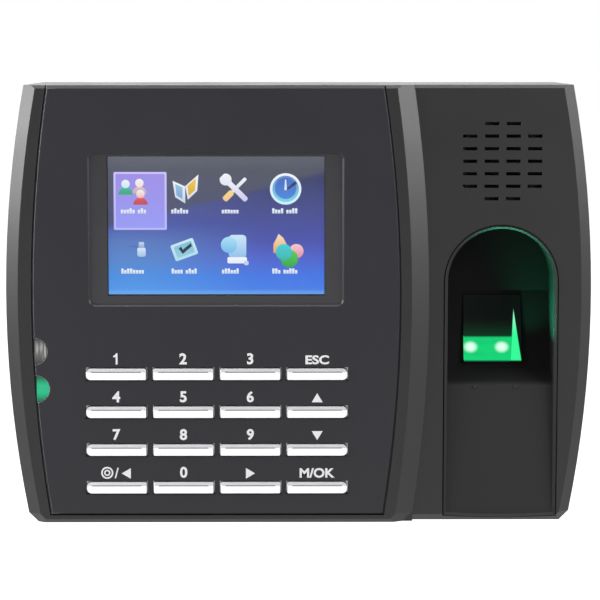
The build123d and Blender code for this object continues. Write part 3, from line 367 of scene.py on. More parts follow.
def plate_steel():
    """Galvanised sheet: spangles about 7 mm across."""
    made = Finish("plate_steel", (0.55, 0.57, 0.58), 0.38, Metallic=1.0)
    made.round_edges(0.15 * MM)
    spangle = made.cells(7 * MM, "Color")
    wander = made.noise(1.2 * MM, 3)
    made.set("Base Color", made.mix((0.44, 0.46, 0.48), (0.66, 0.67, 0.67), spangle * 0.7 + wander * 0.3))
    made.set("Roughness", 0.28 + spangle * 0.2 + wander * 0.06)
    made.relief(made.cells(7 * MM), 0.01 * MM)
    return made


def dark_metal():
    made = brushed("dark_metal", (0.1, 0.1, 0.105), 0.45, (1, 1, 1))
    made.relief(made.noise(0.4 * MM, 3), 0.012 * MM)
    return made


# %% [markdown]
# ## Keys
# The keys are plastic with a silver lacquer: nearly white, with a fine metallic flake. Their lower slope
# mirrors the pale surroundings below and their narrow upper slope the darker ones above, so the two differ
# without any paint. Along the ridge between them a fine dark line is a painted reflection of the darker
# surroundings, over a shallow bumped groove, and it stops short of the ends. The keys repeat at one pitch in
# each direction, so a zigzag over the place gives the distance from any ridge.


# %% Silver lacquer
RIDGE_RISE = 0.75 * MM  # a key's ridge above its centre line
RIDGE_HALF_LENGTH = 8.1 * MM
first_key = centre_of("key_left")
key_pitch = (centre_of("key_0").x - first_key.x, centre_of("key_7").z - first_key.z)


def key_silver():
    made = Finish("key_silver", (0.68, 0.68, 0.69), 0.3, Metallic=0.75, Coat_Weight=0.15)
    made.round_edges(0.12 * MM)
    flake = made.noise(0.09 * MM, 1)
    wear_and_painted_highlight = made.noise(4 * MM, 3)
    x, _, z = made.split(made.place)
    from_ridge = (z - (first_key.z + RIDGE_RISE)).maths("PINGPONG", key_pitch[1] / 2)
    from_middle = (x - first_key.x).maths("PINGPONG", key_pitch[0] / 2)
    # painted reflection: a dark line drawn along each key's ridge, stopping short of its ends, stands for the
    # darker surroundings mirrored there; it also dents the surface slightly
    groove_and_painted_reflection = 1 - made.step(from_ridge, 0.08 * MM, 0.26 * MM)
    groove_and_painted_reflection = groove_and_painted_reflection * (1 - made.step(from_middle, RIDGE_HALF_LENGTH - 0.3 * MM, RIDGE_HALF_LENGTH))
    lacquer = made.mix((0.62, 0.62, 0.635), (0.74, 0.74, 0.745), flake)
    made.set("Base Color", made.mix(lacquer, (0.12, 0.12, 0.125), groove_and_painted_reflection * 0.9))
    made.set("Roughness", 0.26 + flake * 0.08 + wear_and_painted_highlight * 0.06)
    made.relief(flake * 0.1 - groove_and_painted_reflection, 0.012 * MM)
    return made


# %% [markdown]
# ## Circuit boards and flat cables
# A board is woven glass under green lacquer, with tracks that show as paler lines and small plated holes.
# The flat cables are amber film over parallel copper strips, which run along the cable.


# %% Boards and flat cables
def green_board():
    made = Finish("green_board", (0.02, 0.14, 0.05), 0.32, Coat_Weight=0.5)
    x, y, z = made.split(made.place)
    flat = made.node("ShaderNodeCombineXYZ", inputs={"X": x, "Y": z, "Z": y})
    sizes = {"Scale": 1.0, "Mortar Size": 0.12 * MM, "Brick Width": 5.1 * MM, "Row Height": 1.27 * MM}
    tracks = made.node("ShaderNodeTexBrick", inputs={"Vector": flat, **sizes}, output="Fac")
    holes = 1 - made.step(made.cells(4.2 * MM), 0.08, 0.1)
    weave = made.noise(0.4 * MM, 2)
    lacquer = made.mix((0.008, 0.09, 0.03), (0.02, 0.16, 0.06), weave)
    tracked = made.mix(lacquer, (0.05, 0.3, 0.11), tracks * 0.7)
    made.set("Base Color", made.mix(tracked, (0.75, 0.6, 0.3), holes))
    made.set("Metallic", holes * 0.9)
    made.relief(tracks, 0.02 * MM)
    return made


def flat_cable(name, across):
    """A cable whose strips lie side by side along the axis across: 0, 1 or 2."""
    made = Finish(name, (0.5, 0.25, 0.05), 0.3, Coat_Weight=0.4)
    pitch = 1.0 * MM
    strip = made.split(made.place)[across].maths("PINGPONG", pitch / 2)
    copper = made.step(strip, 0.12 * MM, 0.2 * MM)
    made.set("Base Color", made.mix((0.32, 0.15, 0.03), (0.62, 0.3, 0.1), copper))
    made.relief(copper, 0.03 * MM)
    return made


def amber_film():
    return flat_cable("amber_film", 0)


# %% [markdown]
# ## The window and the display
# The window is one clear sheet, printed black behind its edges. It is opaque there and clear over the lit
# area. The display's own glass is dark, and the picture lies on it.

# %% Where the lit area is
TRAY_MARGIN = 4 * MM  # the tray reaches this far past the lit area on each side
tray_low, tray_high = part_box("display_tray")
screen_low = (tray_low.x + TRAY_MARGIN, tray_low.z + TRAY_MARGIN)
screen_size = (tray_high.x - tray_low.x - 2 * TRAY_MARGIN, tray_high.z - tray_low.z - 2 * TRAY_MARGIN)
screen_centre = [low + size / 2 for low, size in zip(screen_low, screen_size)]
screen_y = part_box("display_panel")[0].y
print("lit area", [round(size / MM, 1) for size in screen_size], "mm")


# %% Glass finishes
def window_glass():
    made = Finish("window_glass", (0.012, 0.012, 0.014), 0.16)
    x, _, z = made.split(made.place)
    outside_x = made.step(abs(x - screen_centre[0]), screen_size[0] / 2, screen_size[0] / 2 + 0.3 * MM)
    outside_z = made.step(abs(z - screen_centre[1]), screen_size[1] / 2, screen_size[1] / 2 + 0.3 * MM)
    printed = outside_x.maths("MAXIMUM", outside_z)
    smudge = made.step(made.noise(14 * MM, 3), 0.5, 0.75)
    made.set("Roughness", 0.13 + smudge * 0.08)
    made.set("Alpha", 0.03 + printed * 0.97)
    return made


def display_glass():
    made = Finish("display_glass", (0.015, 0.016, 0.022), 0.2)
    made.set("Roughness", 0.16 + made.noise(10 * MM, 2) * 0.08)
    return made


# %% [markdown]
# ## Status lights
# Both lenses are small D-shaped light guides. The upper one is dark, with a grey painted highlight across its
# middle that is streaked along its ribs; the lower one is lit green, brightest at its middle, where the lamp
# is.


# %% Status lenses and lamps
def lens_glow(made, node):
    """1 at the middle of a lens, falling to 0 at its rim."""
    middle = tuple(centre_of(node))
    offset = made.node("ShaderNodeVectorMath", {"operation": "SUBTRACT"}, {0: made.place, 1: middle})
    _, _, up = made.split(offset)
    return 1 - made.step(abs(up), 0.8 * MM, 4.4 * MM)


def green_lens():
    made = Finish("green_lens", (0.002, 0.03, 0.015), 0.3, Emission_Strength=1.0, Specular_IOR_Level=0.25)
    glow_and_painted_highlight = lens_glow(made, "status_lens_lower") * (0.8 + made.noise(1.2 * MM) * 0.4)
    made.set("Emission Color", made.mix(srgb(12, 78, 52), srgb(34, 178, 128), glow_and_painted_highlight))
    return made


def smoke_lens():
    made = Finish("smoke_lens", (0.1, 0.1, 0.1), 0.36)
    ribs = made.step(made.noise(0.7 * MM, 1, (1, 1, 9)), 0.4, 0.6)
    # painted highlight: the dark lens is made grey across its middle, streaked by the ribs, as if it
    # reflected the light there
    glow_and_painted_highlight = lens_glow(made, "status_lens_upper") * (0.25 + ribs * 0.75)
    made.set("Base Color", made.mix((0.012, 0.012, 0.012), (0.2, 0.2, 0.195), glow_and_painted_highlight))
    made.relief(made.noise(0.4 * MM), 0.004 * MM)
    return made


def green_lamp():
    made = Finish("green_lamp", (0.1, 0.7, 0.3), 0.15, Emission_Strength=3.0)
    made.set("Emission Color", made.mix(srgb(40, 200, 90), srgb(150, 255, 190), made.noise(0.8 * MM)))
    return made


# %% [markdown]
# ## The sensor's glass
# The finger lies on a wedge of clear glass that is lit from below by two green lamps. From the front the
# glass looks black, because its rear face mirrors the dark inside of the sensor. The light shows in two
# places: a band along its lower edge with the two lamps in it, and a thin bright triangle at its right,
# where the lit side face is seen through the glass.

# %% Sensor glass
BAND_LOW, BAND_HIGH = 0.8 * MM, 8.3 * MM  # the lit band's edges, up from the glass's lower edge
LAMP_PLACES = [2.1 * MM, 12.2 * MM]  # from the glass's left edge
LAMP_HEIGHT = 4.7 * MM
SIDE_FACE = 3.7 * MM  # width of the lit side face at its foot
SIDE_FACE_TOP = 16.7 * MM
SIDE_FACE_LEAN = 1.35 * MM  # its tip stands this far in from its left corner


def sensor_glass():
    made = Finish("sensor_glass", (0.002, 0.003, 0.0025), 0.12, Emission_Strength=1.2, Specular_IOR_Level=0.1)
    low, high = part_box("sensor_glass")
    x, _, z = made.split(made.place)
    across, up = x - low.x, z - low.z
    band = made.step(up, BAND_LOW - 0.6 * MM, BAND_LOW) * (1 - made.step(up, BAND_HIGH - 0.9 * MM, BAND_HIGH))
    halo = 1 - made.step(up, BAND_HIGH - 3 * MM, BAND_HIGH + 6 * MM)
    hot = None
    for place in LAMP_PLACES:
        offset = (across - place) * (across - place) + (up - LAMP_HEIGHT) * (up - LAMP_HEIGHT) * 1.6
        spot = 1 - made.step(offset, -2 * MM * MM, 7.5 * MM * MM)
        hot = hot + spot if hot else spot
    corner = across - (high.x - low.x - SIDE_FACE)
    from_left = corner - up * (SIDE_FACE_LEAN / SIDE_FACE_TOP)
    from_right = SIDE_FACE - corner - up * ((SIDE_FACE - SIDE_FACE_LEAN) / SIDE_FACE_TOP)
    side_left = made.step(from_left, -0.1 * MM, 0.1 * MM)
    side = made.step(from_left, -0.1 * MM, 0.2 * MM) * made.step(from_right, -0.1 * MM, 0.2 * MM)
    side = side * made.step(up, BAND_LOW - 0.6 * MM, BAND_LOW)
    streaks = 0.75 + made.noise(2.5 * MM, 3, (3, 1, 1)) * 0.5
    faint = made.mix(srgb(1, 5, 3), srgb(8, 52, 30), halo * (1 - side_left))
    lit = made.mix(faint, srgb(14, 196, 110), band * streaks * (1 - side_left))
    hottest = made.mix(lit, srgb(226, 255, 242), hot * band)
    tip = made.step(up, BAND_HIGH - 0.3 * MM, SIDE_FACE_TOP)
    side_color = made.mix(srgb(48, 232, 140), srgb(150, 244, 200), tip)
    made.set("Emission Color", made.mix(hottest, side_color, side))
    return made


# %% [markdown]
# ## Giving each node its finish
# The record names a material slot for each node, and there is one function of the same name for each slot.
# A flat cable that runs sideways has its copper strips along the other axis.

# %% Assign the finishes
MAKERS = [
    black_shell, face_black, bay_black, chip_black, white_plastic, relay_blue, terminal_green, silicone,
    black_foam, paper_cone, tin_sheet, bright_steel, zinc_steel, plate_steel, dark_metal, key_silver,
    green_board, amber_film, window_glass, display_glass, green_lens, smoke_lens, green_lamp, sensor_glass,
]
finishes = {maker.__name__: maker() for maker in MAKERS}


def give_finish(node, finish):
    mesh = nodes[node].data
    mesh.materials.clear()
    mesh.materials.append(finish.material)


for node_name, slot_name in slot_of.items():
    give_finish(node_name, finishes[slot_name])
give_finish("sensor_cable", flat_cable("amber_film_sideways", 1))
print("finished", len(slot_of), "nodes")

# %% [markdown]
# ## Thin pieces from outlines
# What is printed or shown on a screen is flat, so each of these pieces is a set of thin prisms made from
# outlines in x and z. `Sheet` collects them. Every shape keeps its own paint in an attribute, from a colour
# at its top to another at its foot.


# %% Outlines and the sheet builder
def arc(x, z, r, start=0.0, end=360.0, count=28):
    """Points on a circle, from one angle to another in degrees."""
    turns = [radians(start + (end - start) * i / count) for i in range(count + (end - start < 360))]
    return [(x + r * cos(t), z + r * sin(t)) for t in turns]


def turned(outline, degrees, centre=(0.0, 0.0)):
    """An outline turned by some degrees about a centre."""
    c, s = cos(radians(degrees)), sin(radians(degrees))
    across, up = centre
    arms = [(x - across, z - up) for x, z in outline]
    return [(across + c * x - s * z, up + s * x + c * z) for x, z in arms]


def panel(x, z, width, height, r=0.2, degrees=0.0):
    """A rectangle with rounded corners."""
    half_w, half_h = width / 2 - r, height / 2 - r
    corners = [(half_w, half_h, 0), (-half_w, half_h, 90), (-half_w, -half_h, 180), (half_w, -half_h, 270)]
    outline = [p for cx, cz, a in corners for p in arc(x + cx, z + cz, r, a, a + 90, 4)]
    return turned(outline, degrees, (x, z))


class Sheet:
    """Flat shapes in millimetres about an origin, stacked towards the viewer in the order they come."""

    LAYER = 0.012  # each shape stands this much further forward than the one before, in millimetres

    def __init__(self, origin, y):
        self.bm = bmesh.new()
        self.paint = self.bm.loops.layers.float_color.new("paint")
        self.origin, self.y, self.layer = origin, y, 1

    def add(self, outline, top, foot=None):
        """A prism of this outline, painted from the colour top down to the colour foot."""
        foot = foot or top
        heights = [z for _, z in outline]
        low, span = min(heights), max(max(heights) - min(heights), 1e-6)
        front = self.y - self.layer * self.LAYER * MM
        place = [Vector((self.origin[0] + x * MM, front, self.origin[1] + z * MM)) for x, z in outline]
        face = self.bm.faces.new([self.bm.verts.new(p) for p in place])
        grown = bmesh.ops.extrude_face_region(self.bm, geom=[face])["geom"]
        new_verts = [v for v in grown if isinstance(v, bmesh.types.BMVert)]
        bmesh.ops.translate(self.bm, verts=new_verts, vec=(0, self.LAYER * MM, 0))
        for shape in {f for v in [*face.verts, *new_verts] for f in v.link_faces}:
            for loop in shape.loops:
                share = ((loop.vert.co.z - self.origin[1]) / MM - low) / span
                color = [f + (t - f) * share for t, f in zip(top, foot)]
                loop[self.paint] = (*color, 1.0)
        self.layer += 1

    def flush(self):
        """Lets the next shape start on the lowest layer again."""
        self.layer = 1


def add_piece(name, bm, finish, smooth=False):
    """Turns a bmesh into a finished piece that rides on the terminal."""
    bmesh.ops.recalc_face_normals(bm, faces=bm.faces)
    mesh = bpy.data.meshes.new(name)
    bm.to_mesh(mesh)
    bm.free()
    mesh.materials.append(finish.material)
    mesh.polygons.foreach_set("use_smooth", [smooth] * len(mesh.polygons))
    piece = bpy.data.objects.new(name, mesh)
    bpy.context.scene.collection.objects.link(piece)
    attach(piece, "terminal")


# %% [markdown]
# ## The picture on the screen
# Behind the menu is a soft backdrop: dusk grey at the top, with a hill line that rises to the right, then
# violet blue that turns to a clear blue at the foot, paler at the left. It gives light of its own, so its
# colours don't depend on the room.


# %% Backdrop
def ramp(made, value, stops):
    """A colour that passes through stops of (value, colour), in rising order."""
    color = stops[0][1]
    for (low, _), (high, after) in zip(stops, stops[1:]):
        inputs = {"Value": value, "From Min": low, "From Max": high}
        share = made.node("ShaderNodeMapRange", {"clamp": True}, inputs)
        color = made.mix(color, after, share)
    return color


def backdrop():
    made = Finish("screen_backdrop", (0.0, 0.0, 0.0), 0.4, Emission_Strength=1.0)
    x, _, z = made.split(made.place)
    across = (x - screen_low[0]) / screen_size[0]
    up = (z - screen_low[1]) / screen_size[1]
    left = [
        (0.02, srgb(76, 150, 236)), (0.13, srgb(67, 141, 225)), (0.26, srgb(81, 131, 203)),
        (0.39, srgb(83, 118, 190)), (0.52, srgb(66, 82, 165)), (0.79, srgb(84, 89, 127)),
    ]
    right = [
        (0.02, srgb(62, 124, 232)), (0.13, srgb(55, 114, 228)), (0.26, srgb(72, 94, 203)),
        (0.39, srgb(65, 75, 170)), (0.6, srgb(62, 70, 140)), (0.85, srgb(50, 58, 104)),
    ]
    sky = made.mix(ramp(made, up, left), ramp(made, up, right), made.step(across, 0.1, 0.8))
    ripple = made.noise(9 * MM, 2) * 0.05
    hill = 0.45 + across * 0.4 + ripple
    dusk = ramp(made, up, [(0.6, srgb(72, 76, 104)), (0.9, srgb(80, 84, 96)), (1.0, srgb(96, 100, 108))])
    shown = made.mix(sky, dusk, made.step(up - hill, -0.015, 0.035) * 0.85)
    foot = 1 - made.step(up, 0.012, 0.04)
    made.set("Emission Color", made.mix(shown, srgb(120, 180, 240), foot * 0.5))
    return made


def screen_sheet():
    """The lit layer of the display, cut into a grid so that it stays flat wherever it is shown."""
    bm = bmesh.new()
    bmesh.ops.create_grid(bm, x_segments=8, y_segments=6, size=0.5)
    place = Matrix.Translation((screen_centre[0], screen_y - 0.02 * MM, screen_centre[1]))
    size = Matrix.Diagonal((screen_size[0], screen_size[1], 1.0, 1.0))
    bm.transform(place @ Matrix.Rotation(pi / 2, 4, "X") @ size)
    return bm


add_piece("screen_picture", screen_sheet(), backdrop())

# %% [markdown]
# ## The menu
# Eight small pictures stand in two rows of four, each with a caption. The captions are rows of small blocks
# and say nothing. The first entry is selected: a pale violet cell with a lighter border.

# %% Menu paint and layout
COLUMN_PITCH, ROW_PITCH = 16.0, 19.2
FIRST_COLUMN, LOWER_ROW = 8.3, 14.4  # the lower left picture, from the lit area's lower left corner
CAPTION_DROP = 7.4
CELL_CENTRE, CELL_SIZE = (10.2, 29.8), (16.8, 18.4)
menu_y = screen_y - 0.04 * MM  # the cell lies here and the pictures in front of it
PICTURE_LIFT = 0.05 * MM
menu_paint = Finish("menu_paint", (0.0, 0.0, 0.0), 0.4, Emission_Strength=1.0)
painted = menu_paint.node("ShaderNodeAttribute", {"attribute_name": "paint"}, output="Color")
menu_paint.set("Emission Color", painted)
WHITE, PALE, SHADE = srgb(244, 246, 252), srgb(196, 214, 236), srgb(44, 50, 96)


def menu_place(row, column):
    """Row 0 is the upper one."""
    return FIRST_COLUMN + column * COLUMN_PITCH, LOWER_ROW + (1 - row) * ROW_PITCH


def menu_sheet(row, column):
    x, z = menu_place(row, column)
    return Sheet((screen_low[0] + x * MM, screen_low[1] + z * MM), menu_y - PICTURE_LIFT)


# %% The selected cell
cell = Sheet((screen_low[0] + CELL_CENTRE[0] * MM, screen_low[1] + CELL_CENTRE[1] * MM), menu_y)
cell.add(panel(0, 0, *CELL_SIZE, 0.4), srgb(206, 196, 255), srgb(186, 184, 250))
cell.add(panel(0, 0, CELL_SIZE[0] - 1.3, CELL_SIZE[1] - 1.3, 0.3), srgb(158, 142, 232), srgb(150, 154, 246))
add_piece("menu_cell", cell.bm, menu_paint)


# %% The eight pictures
def draw_people(s):
    for x, z, head, coat in [
        (-2.7, 1.6, srgb(200, 236, 244), srgb(60, 190, 150)),
        (1.7, 1.9, srgb(250, 224, 214), srgb(226, 196, 206)),
        (2.0, -1.6, srgb(244, 176, 168), srgb(224, 84, 96)),
    ]:
        s.flush()
        s.add(arc(x, z - 3.4, 2.3, 0, 180, 16), coat, tuple(0.7 * c for c in coat))
        s.add(arc(x, z, 1.35, count=18), WHITE, head)


def draw_door(s):
    s.add([(-3.8, 2.6), (0.2, 0.8), (0.2, -4.6), (-3.0, -2.6)], WHITE, PALE)
    s.add([(-3.0, 1.6), (-0.7, 0.5), (-0.7, -3.2), (-2.6, -2.0)], srgb(150, 196, 228), srgb(120, 160, 214))
    s.flush()
    s.add([(0.2, 0.9), (4.4, 4.6), (4.0, -0.6), (1.0, -3.4)], WHITE, srgb(220, 226, 240))
    s.add([(0.9, 1.0), (3.6, 3.4), (3.3, -0.4), (1.3, -2.2)], srgb(246, 206, 70), srgb(214, 168, 44))


def draw_tools(s):
    s.add(panel(0, 0, 1.1, 9.6, 0.3, -45), WHITE, PALE)
    s.add(panel(-2.2, -2.2, 1.9, 3.8, 0.6, -45), srgb(248, 220, 120), srgb(240, 196, 150))
    s.add(panel(0.6, -0.6, 1.7, 8.6, 0.6, 45), WHITE, srgb(206, 200, 236))
    s.add(arc(-3.0, 3.0, 1.9, 165, 465, 18), WHITE, srgb(226, 232, 246))


def draw_clock(s):
    s.add(arc(0, 0, 5.0), WHITE, srgb(206, 240, 250))
    s.add(arc(0, 0, 4.2), srgb(96, 136, 204), srgb(120, 214, 240))
    s.add(arc(0, 0.2, 3.4), srgb(64, 104, 190), srgb(70, 134, 222))
    s.add([(-0.3, -0.4), (0.2, -0.6), (3.6, 1.6), (3.0, 2.5)], SHADE)
    s.add([(-0.4, -0.4), (0.4, -0.4), (0.2, 3.0), (-0.2, 3.0)], srgb(214, 232, 250))


def draw_stick(s):
    s.add(panel(2.2, -0.9, 2.7, 3.0, 0.7), srgb(222, 236, 250), srgb(150, 190, 232))
    s.add(panel(2.2, 1.4, 1.7, 1.9, 0.2), PALE, srgb(136, 170, 220))
    s.add(panel(-0.6, 0.9, 2.6, 0.3, 0.1), srgb(70, 100, 180))


def draw_ticket(s):
    s.add(panel(-0.2, -0.1, 7.6, 5.4, 0.5, 20), srgb(206, 236, 246), srgb(176, 220, 240))
    s.add(panel(-0.2, -0.1, 5.9, 3.8, 0.3, 20), srgb(120, 190, 214), srgb(150, 206, 226))
    s.add([(-2.0, 0.2), (-1.2, 0.9), (-0.7, -0.1), (1.9, 2.0), (2.2, 1.0), (-0.7, -1.5)], srgb(26, 40, 70))


def draw_pages(s):
    s.add(panel(0.7, 0.9, 5.6, 7.4, 1.2), srgb(206, 232, 250), srgb(140, 190, 238))
    s.add(arc(-2.0, 1.4, 2.6), srgb(170, 226, 248), srgb(110, 186, 236))
    s.add(panel(0.6, -3.5, 6.2, 2.0, 0.4), WHITE, srgb(230, 240, 250))
    s.add(panel(3.5, -4.4, 1.5, 1.4, 0.5), srgb(190, 210, 244))


def draw_blobs(s):
    leaf = [(-3.9, -1.2), (-3.9, 1.6), (-2.2, 4.9), (-0.7, 3.6), (0.4, 1.4), (-0.4, -1.0)]
    s.add(leaf, srgb(250, 226, 190), srgb(234, 160, 76))
    s.add(arc(3.4, -0.6, 2.3), srgb(250, 200, 206), srgb(226, 130, 156))
    s.add(arc(1.2, -3.0, 2.8), srgb(80, 206, 90), srgb(40, 160, 60))
    s.add(arc(-0.6, -0.9, 2.6), srgb(60, 206, 216), srgb(44, 180, 170))


PICTURES = [
    [("people", draw_people), ("door", draw_door), ("tools", draw_tools), ("clock", draw_clock)],
    [("stick", draw_stick), ("ticket", draw_ticket), ("pages", draw_pages), ("blobs", draw_blobs)],
]
for row, entries in enumerate(PICTURES):
    for column, (name, draw) in enumerate(entries):
        sheet = menu_sheet(row, column)
        draw(sheet)
        add_piece("menu_" + name, sheet.bm, menu_paint)

# %% Captions
CAPTION_WORDS = [[(5, 3), (6,), (6,), (4, 4)], [(8,), (4, 4), (6,), (3, 5)]]
LETTER_W, LETTER_GAP, WORD_GAP = 0.74, 0.18, 0.8
draws = random.Random(7)
for row, captions in enumerate(CAPTION_WORDS):
    for column, words in enumerate(captions):
        sheet = menu_sheet(row, column)
        x = -3.9
        for letters in words:
            for _ in range(letters):
                height = draws.choice([1.15, 1.25, 1.65])
                sheet.flush()
                sheet.add(panel(x, height / 2 - CAPTION_DROP - 0.4, LETTER_W, height, 0.12), WHITE, PALE)
                x += LETTER_W + LETTER_GAP
            x += WORD_GAP
        add_piece(f"caption_{row}_{column}", sheet.bm, menu_paint)

# %% [markdown]
# ## Printed legends
# The legends above the keys are pad-printed in white, a few hundredths of a millimetre thick, with slightly
# uneven ink. Digits are taller than words. They are lettering turned into meshes, and the signs (arrows and
# the ringed dot) are outlines.

# %% Legend helpers
INK = 0.02 * MM
face_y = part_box("faceplate")[0].y
DIGIT_H, WORD_H, SIGN_H = 3.6 * MM, 2.9 * MM, 2.9 * MM
LEGEND_RISE = 3.15 * MM  # from a key's centre line to the foot of its legend
LETTER_WEIGHT = 0.032  # how much the letters' outlines are fattened, in parts of their size
RING_SIDES = 32


def ink():
    made = Finish("white_ink", (0.45, 0.45, 0.46), 0.5)
    made.set("Base Color", made.mix((0.38, 0.38, 0.39), (0.52, 0.52, 0.53), made.noise(0.5 * MM, 3)))
    made.relief(made.noise(0.15 * MM), 0.003 * MM)
    return made


white_ink = ink()


def lettering(words, height, width=None):
    """Words as a thin solid that stands on z = 0, centred on x = 0, facing -Y at y = 0."""
    curve = bpy.data.curves.new("lettering", "FONT")
    curve.body, curve.align_x = words, "CENTER"
    curve.extrude, curve.offset = 0.5, LETTER_WEIGHT
    text = bpy.data.objects.new("lettering", curve)
    bpy.context.scene.collection.objects.link(text)
    bpy.context.view_layer.update()
    evaluated = text.evaluated_get(bpy.context.evaluated_depsgraph_get())
    mesh = bpy.data.meshes.new_from_object(evaluated)
    bm = bmesh.new()
    bm.from_mesh(mesh)
    bpy.data.objects.remove(text)
    bpy.data.meshes.remove(mesh)
    xs, zs = [v.co.x for v in bm.verts], [v.co.y for v in bm.verts]
    size = (max(xs) - min(xs), max(zs) - min(zs))
    scale_z = height / size[1]
    scale_x = width / size[0] if width else scale_z
    to_middle = Matrix.Translation((-(max(xs) + min(xs)) / 2, -min(zs), 0))
    stretched = Matrix.Diagonal((scale_x, scale_z, INK, 1.0))
    bm.transform(Matrix.Rotation(pi / 2, 4, "X") @ stretched @ to_middle)
    return bm


def sign(outlines):
    """Flat outlines in metres as one thin solid."""
    bm = bmesh.new()
    for outline in outlines:
        face = bm.faces.new([bm.verts.new((x, -INK / 2, z)) for x, z in outline])
        grown = bmesh.ops.extrude_face_region(bm, geom=[face])["geom"]
        new_verts = [v for v in grown if isinstance(v, bmesh.types.BMVert)]
        bmesh.ops.translate(bm, verts=new_verts, vec=(0, INK, 0))
    return bm


def ring(x, z, outer, inner):
    """A ring as four-sided pieces."""
    turns = [2 * pi * i / RING_SIDES for i in range(RING_SIDES)]
    outside = [(x + outer * cos(t), z + outer * sin(t)) for t in turns]
    inside = [(x + inner * cos(t), z + inner * sin(t)) for t in turns]
    after = [*range(1, RING_SIDES), 0]
    return [[outside[i], outside[j], inside[j], inside[i]] for i, j in enumerate(after)]


def digit_one():
    """A straight stem with a flag at its top left."""
    stem = [(-0.1, 0.0), (0.5, 0.0), (0.5, 3.6), (0.05, 3.6)]
    flag = [(-0.25, 3.05), (-0.85, 2.75), (-0.85, 2.25), (-0.1, 2.45)]
    return sign([[(x * MM, z * MM) for x, z in stem + flag]])


def digit_nine():
    """A six turned over, as the fattened nine doesn't fill cleanly."""
    bm = lettering("6", DIGIT_H)
    bm.transform(Matrix.Translation((0, 0, DIGIT_H)) @ Matrix.Rotation(pi, 4, "Y"))
    return bm


def triangle(degrees, x=0.0):
    """An arrow head that points up, turned by some degrees."""
    half_w = 1.75 * MM
    return turned([(x - half_w, 0.0), (x + half_w, 0.0), (x, SIGN_H)], degrees, (x, SIGN_H / 2))


def left_sign():
    """A ringed dot, a slash and an arrow to the left."""
    dot = (-3.1 * MM, SIGN_H / 2 + 0.2 * MM)
    slash = [(-0.75 * MM, -0.1 * MM), (-0.3 * MM, -0.1 * MM), (0.6 * MM, 3.3 * MM), (0.15 * MM, 3.3 * MM)]
    return sign([
        *ring(*dot, 1.95 * MM, 1.45 * MM),
        *ring(*dot, 1.0 * MM, 0.55 * MM),
        slash,
        triangle(90, x=3.0 * MM),
    ])


# %% Print the legends
legends = {f"key_{digit}": lettering(str(digit), DIGIT_H) for digit in range(10)}
legends["key_1"], legends["key_9"] = digit_one(), digit_nine()
legends["key_esc"] = lettering("ESC", WORD_H, 7.5 * MM)
legends["key_ok"] = lettering("M/OK", WORD_H * 1.08, 11.2 * MM)
legends["key_up"] = sign([triangle(0)])
legends["key_down"] = sign([triangle(180)])
legends["key_right"] = sign([triangle(-90)])
legends["key_left"] = left_sign()
for key, bm in legends.items():
    middle = centre_of(key)
    bm.transform(Matrix.Translation((middle.x, face_y - INK / 2 + 0.001 * MM, middle.z + LEGEND_RISE)))
    add_piece(key.replace("key", "legend"), bm, white_ink)
print("printed", len(legends), "legends")

# %% [markdown]
# ## Pips on the finger ramp
# Two small domes at the top of the ramp, one on each side of the sensor's centre line, let a finger find
# its place. Each is a half sphere pressed flat, sunk a little into the ramp.

# %% Pips
PIP_R, PIP_SPREAD = 0.7 * MM, 6.5 * MM
PIP_DROP = 7.0 * MM  # below the glass's lower edge
PIP_DEPTH = 3.1 * MM  # the ramp's face there, behind the front of the finger guide
PIP_SUNK, PIP_FLATNESS = 0.2 * MM, 0.7
guide_low, guide_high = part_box("finger_guide")
glass_low, glass_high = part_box("sensor_glass")
for side, label in [(-1, "left"), (1, "right")]:
    bm = bmesh.new()
    bmesh.ops.create_uvsphere(bm, u_segments=20, v_segments=12, radius=PIP_R)
    whole = [*bm.verts, *bm.edges, *bm.faces]
    behind = {"plane_co": (0, PIP_SUNK, 0), "plane_no": (0, 1, 0), "clear_outer": True}
    bmesh.ops.bisect_plane(bm, geom=whole, **behind)
    bmesh.ops.holes_fill(bm, edges=[e for e in bm.edges if e.is_boundary])
    pip_x = (glass_low.x + glass_high.x) / 2 + side * PIP_SPREAD
    place = Matrix.Translation((pip_x, guide_low.y + PIP_DEPTH, glass_low.z - PIP_DROP))
    bm.transform(place @ Matrix.Diagonal((1.0, PIP_FLATNESS, 1.0, 1.0)))
    add_piece("ramp_pip_" + label, bm, finishes["bay_black"], smooth=True)

# %% [markdown]
# ## Studio
# A white floor lies below the terminal, which hangs free. Soft boxes stand close at the left and the right,
# above the middle, so that the bevelled sides are bright at the top and fade downwards. One hangs overhead
# for the top edges, one is behind for the top face, and a weak one in front opens up the dark front. The
# surroundings are dim grey, and white where the camera looks straight into them.

# %% Floor and surroundings
FLOOR_DROP, FLOOR_REACH = 60 * MM, 4.0
floor_finish = Finish("studio_floor", (0.25, 0.25, 0.25), 0.8, Emission_Strength=1.0)
floor_finish.set("Emission Color", (1.0, 1.0, 1.0))
floor_mesh = bmesh.new()
bmesh.ops.create_grid(floor_mesh, x_segments=2, y_segments=2, size=FLOOR_REACH)
floor_mesh.transform(Matrix.Translation((0, 0, cad_box[0].z - FLOOR_DROP)))
mesh = bpy.data.meshes.new("studio_floor")
floor_mesh.to_mesh(mesh)
floor_mesh.free()
mesh.materials.append(floor_finish.material)
floor = bpy.data.objects.new("studio_floor", mesh)
bpy.context.scene.collection.objects.link(floor)

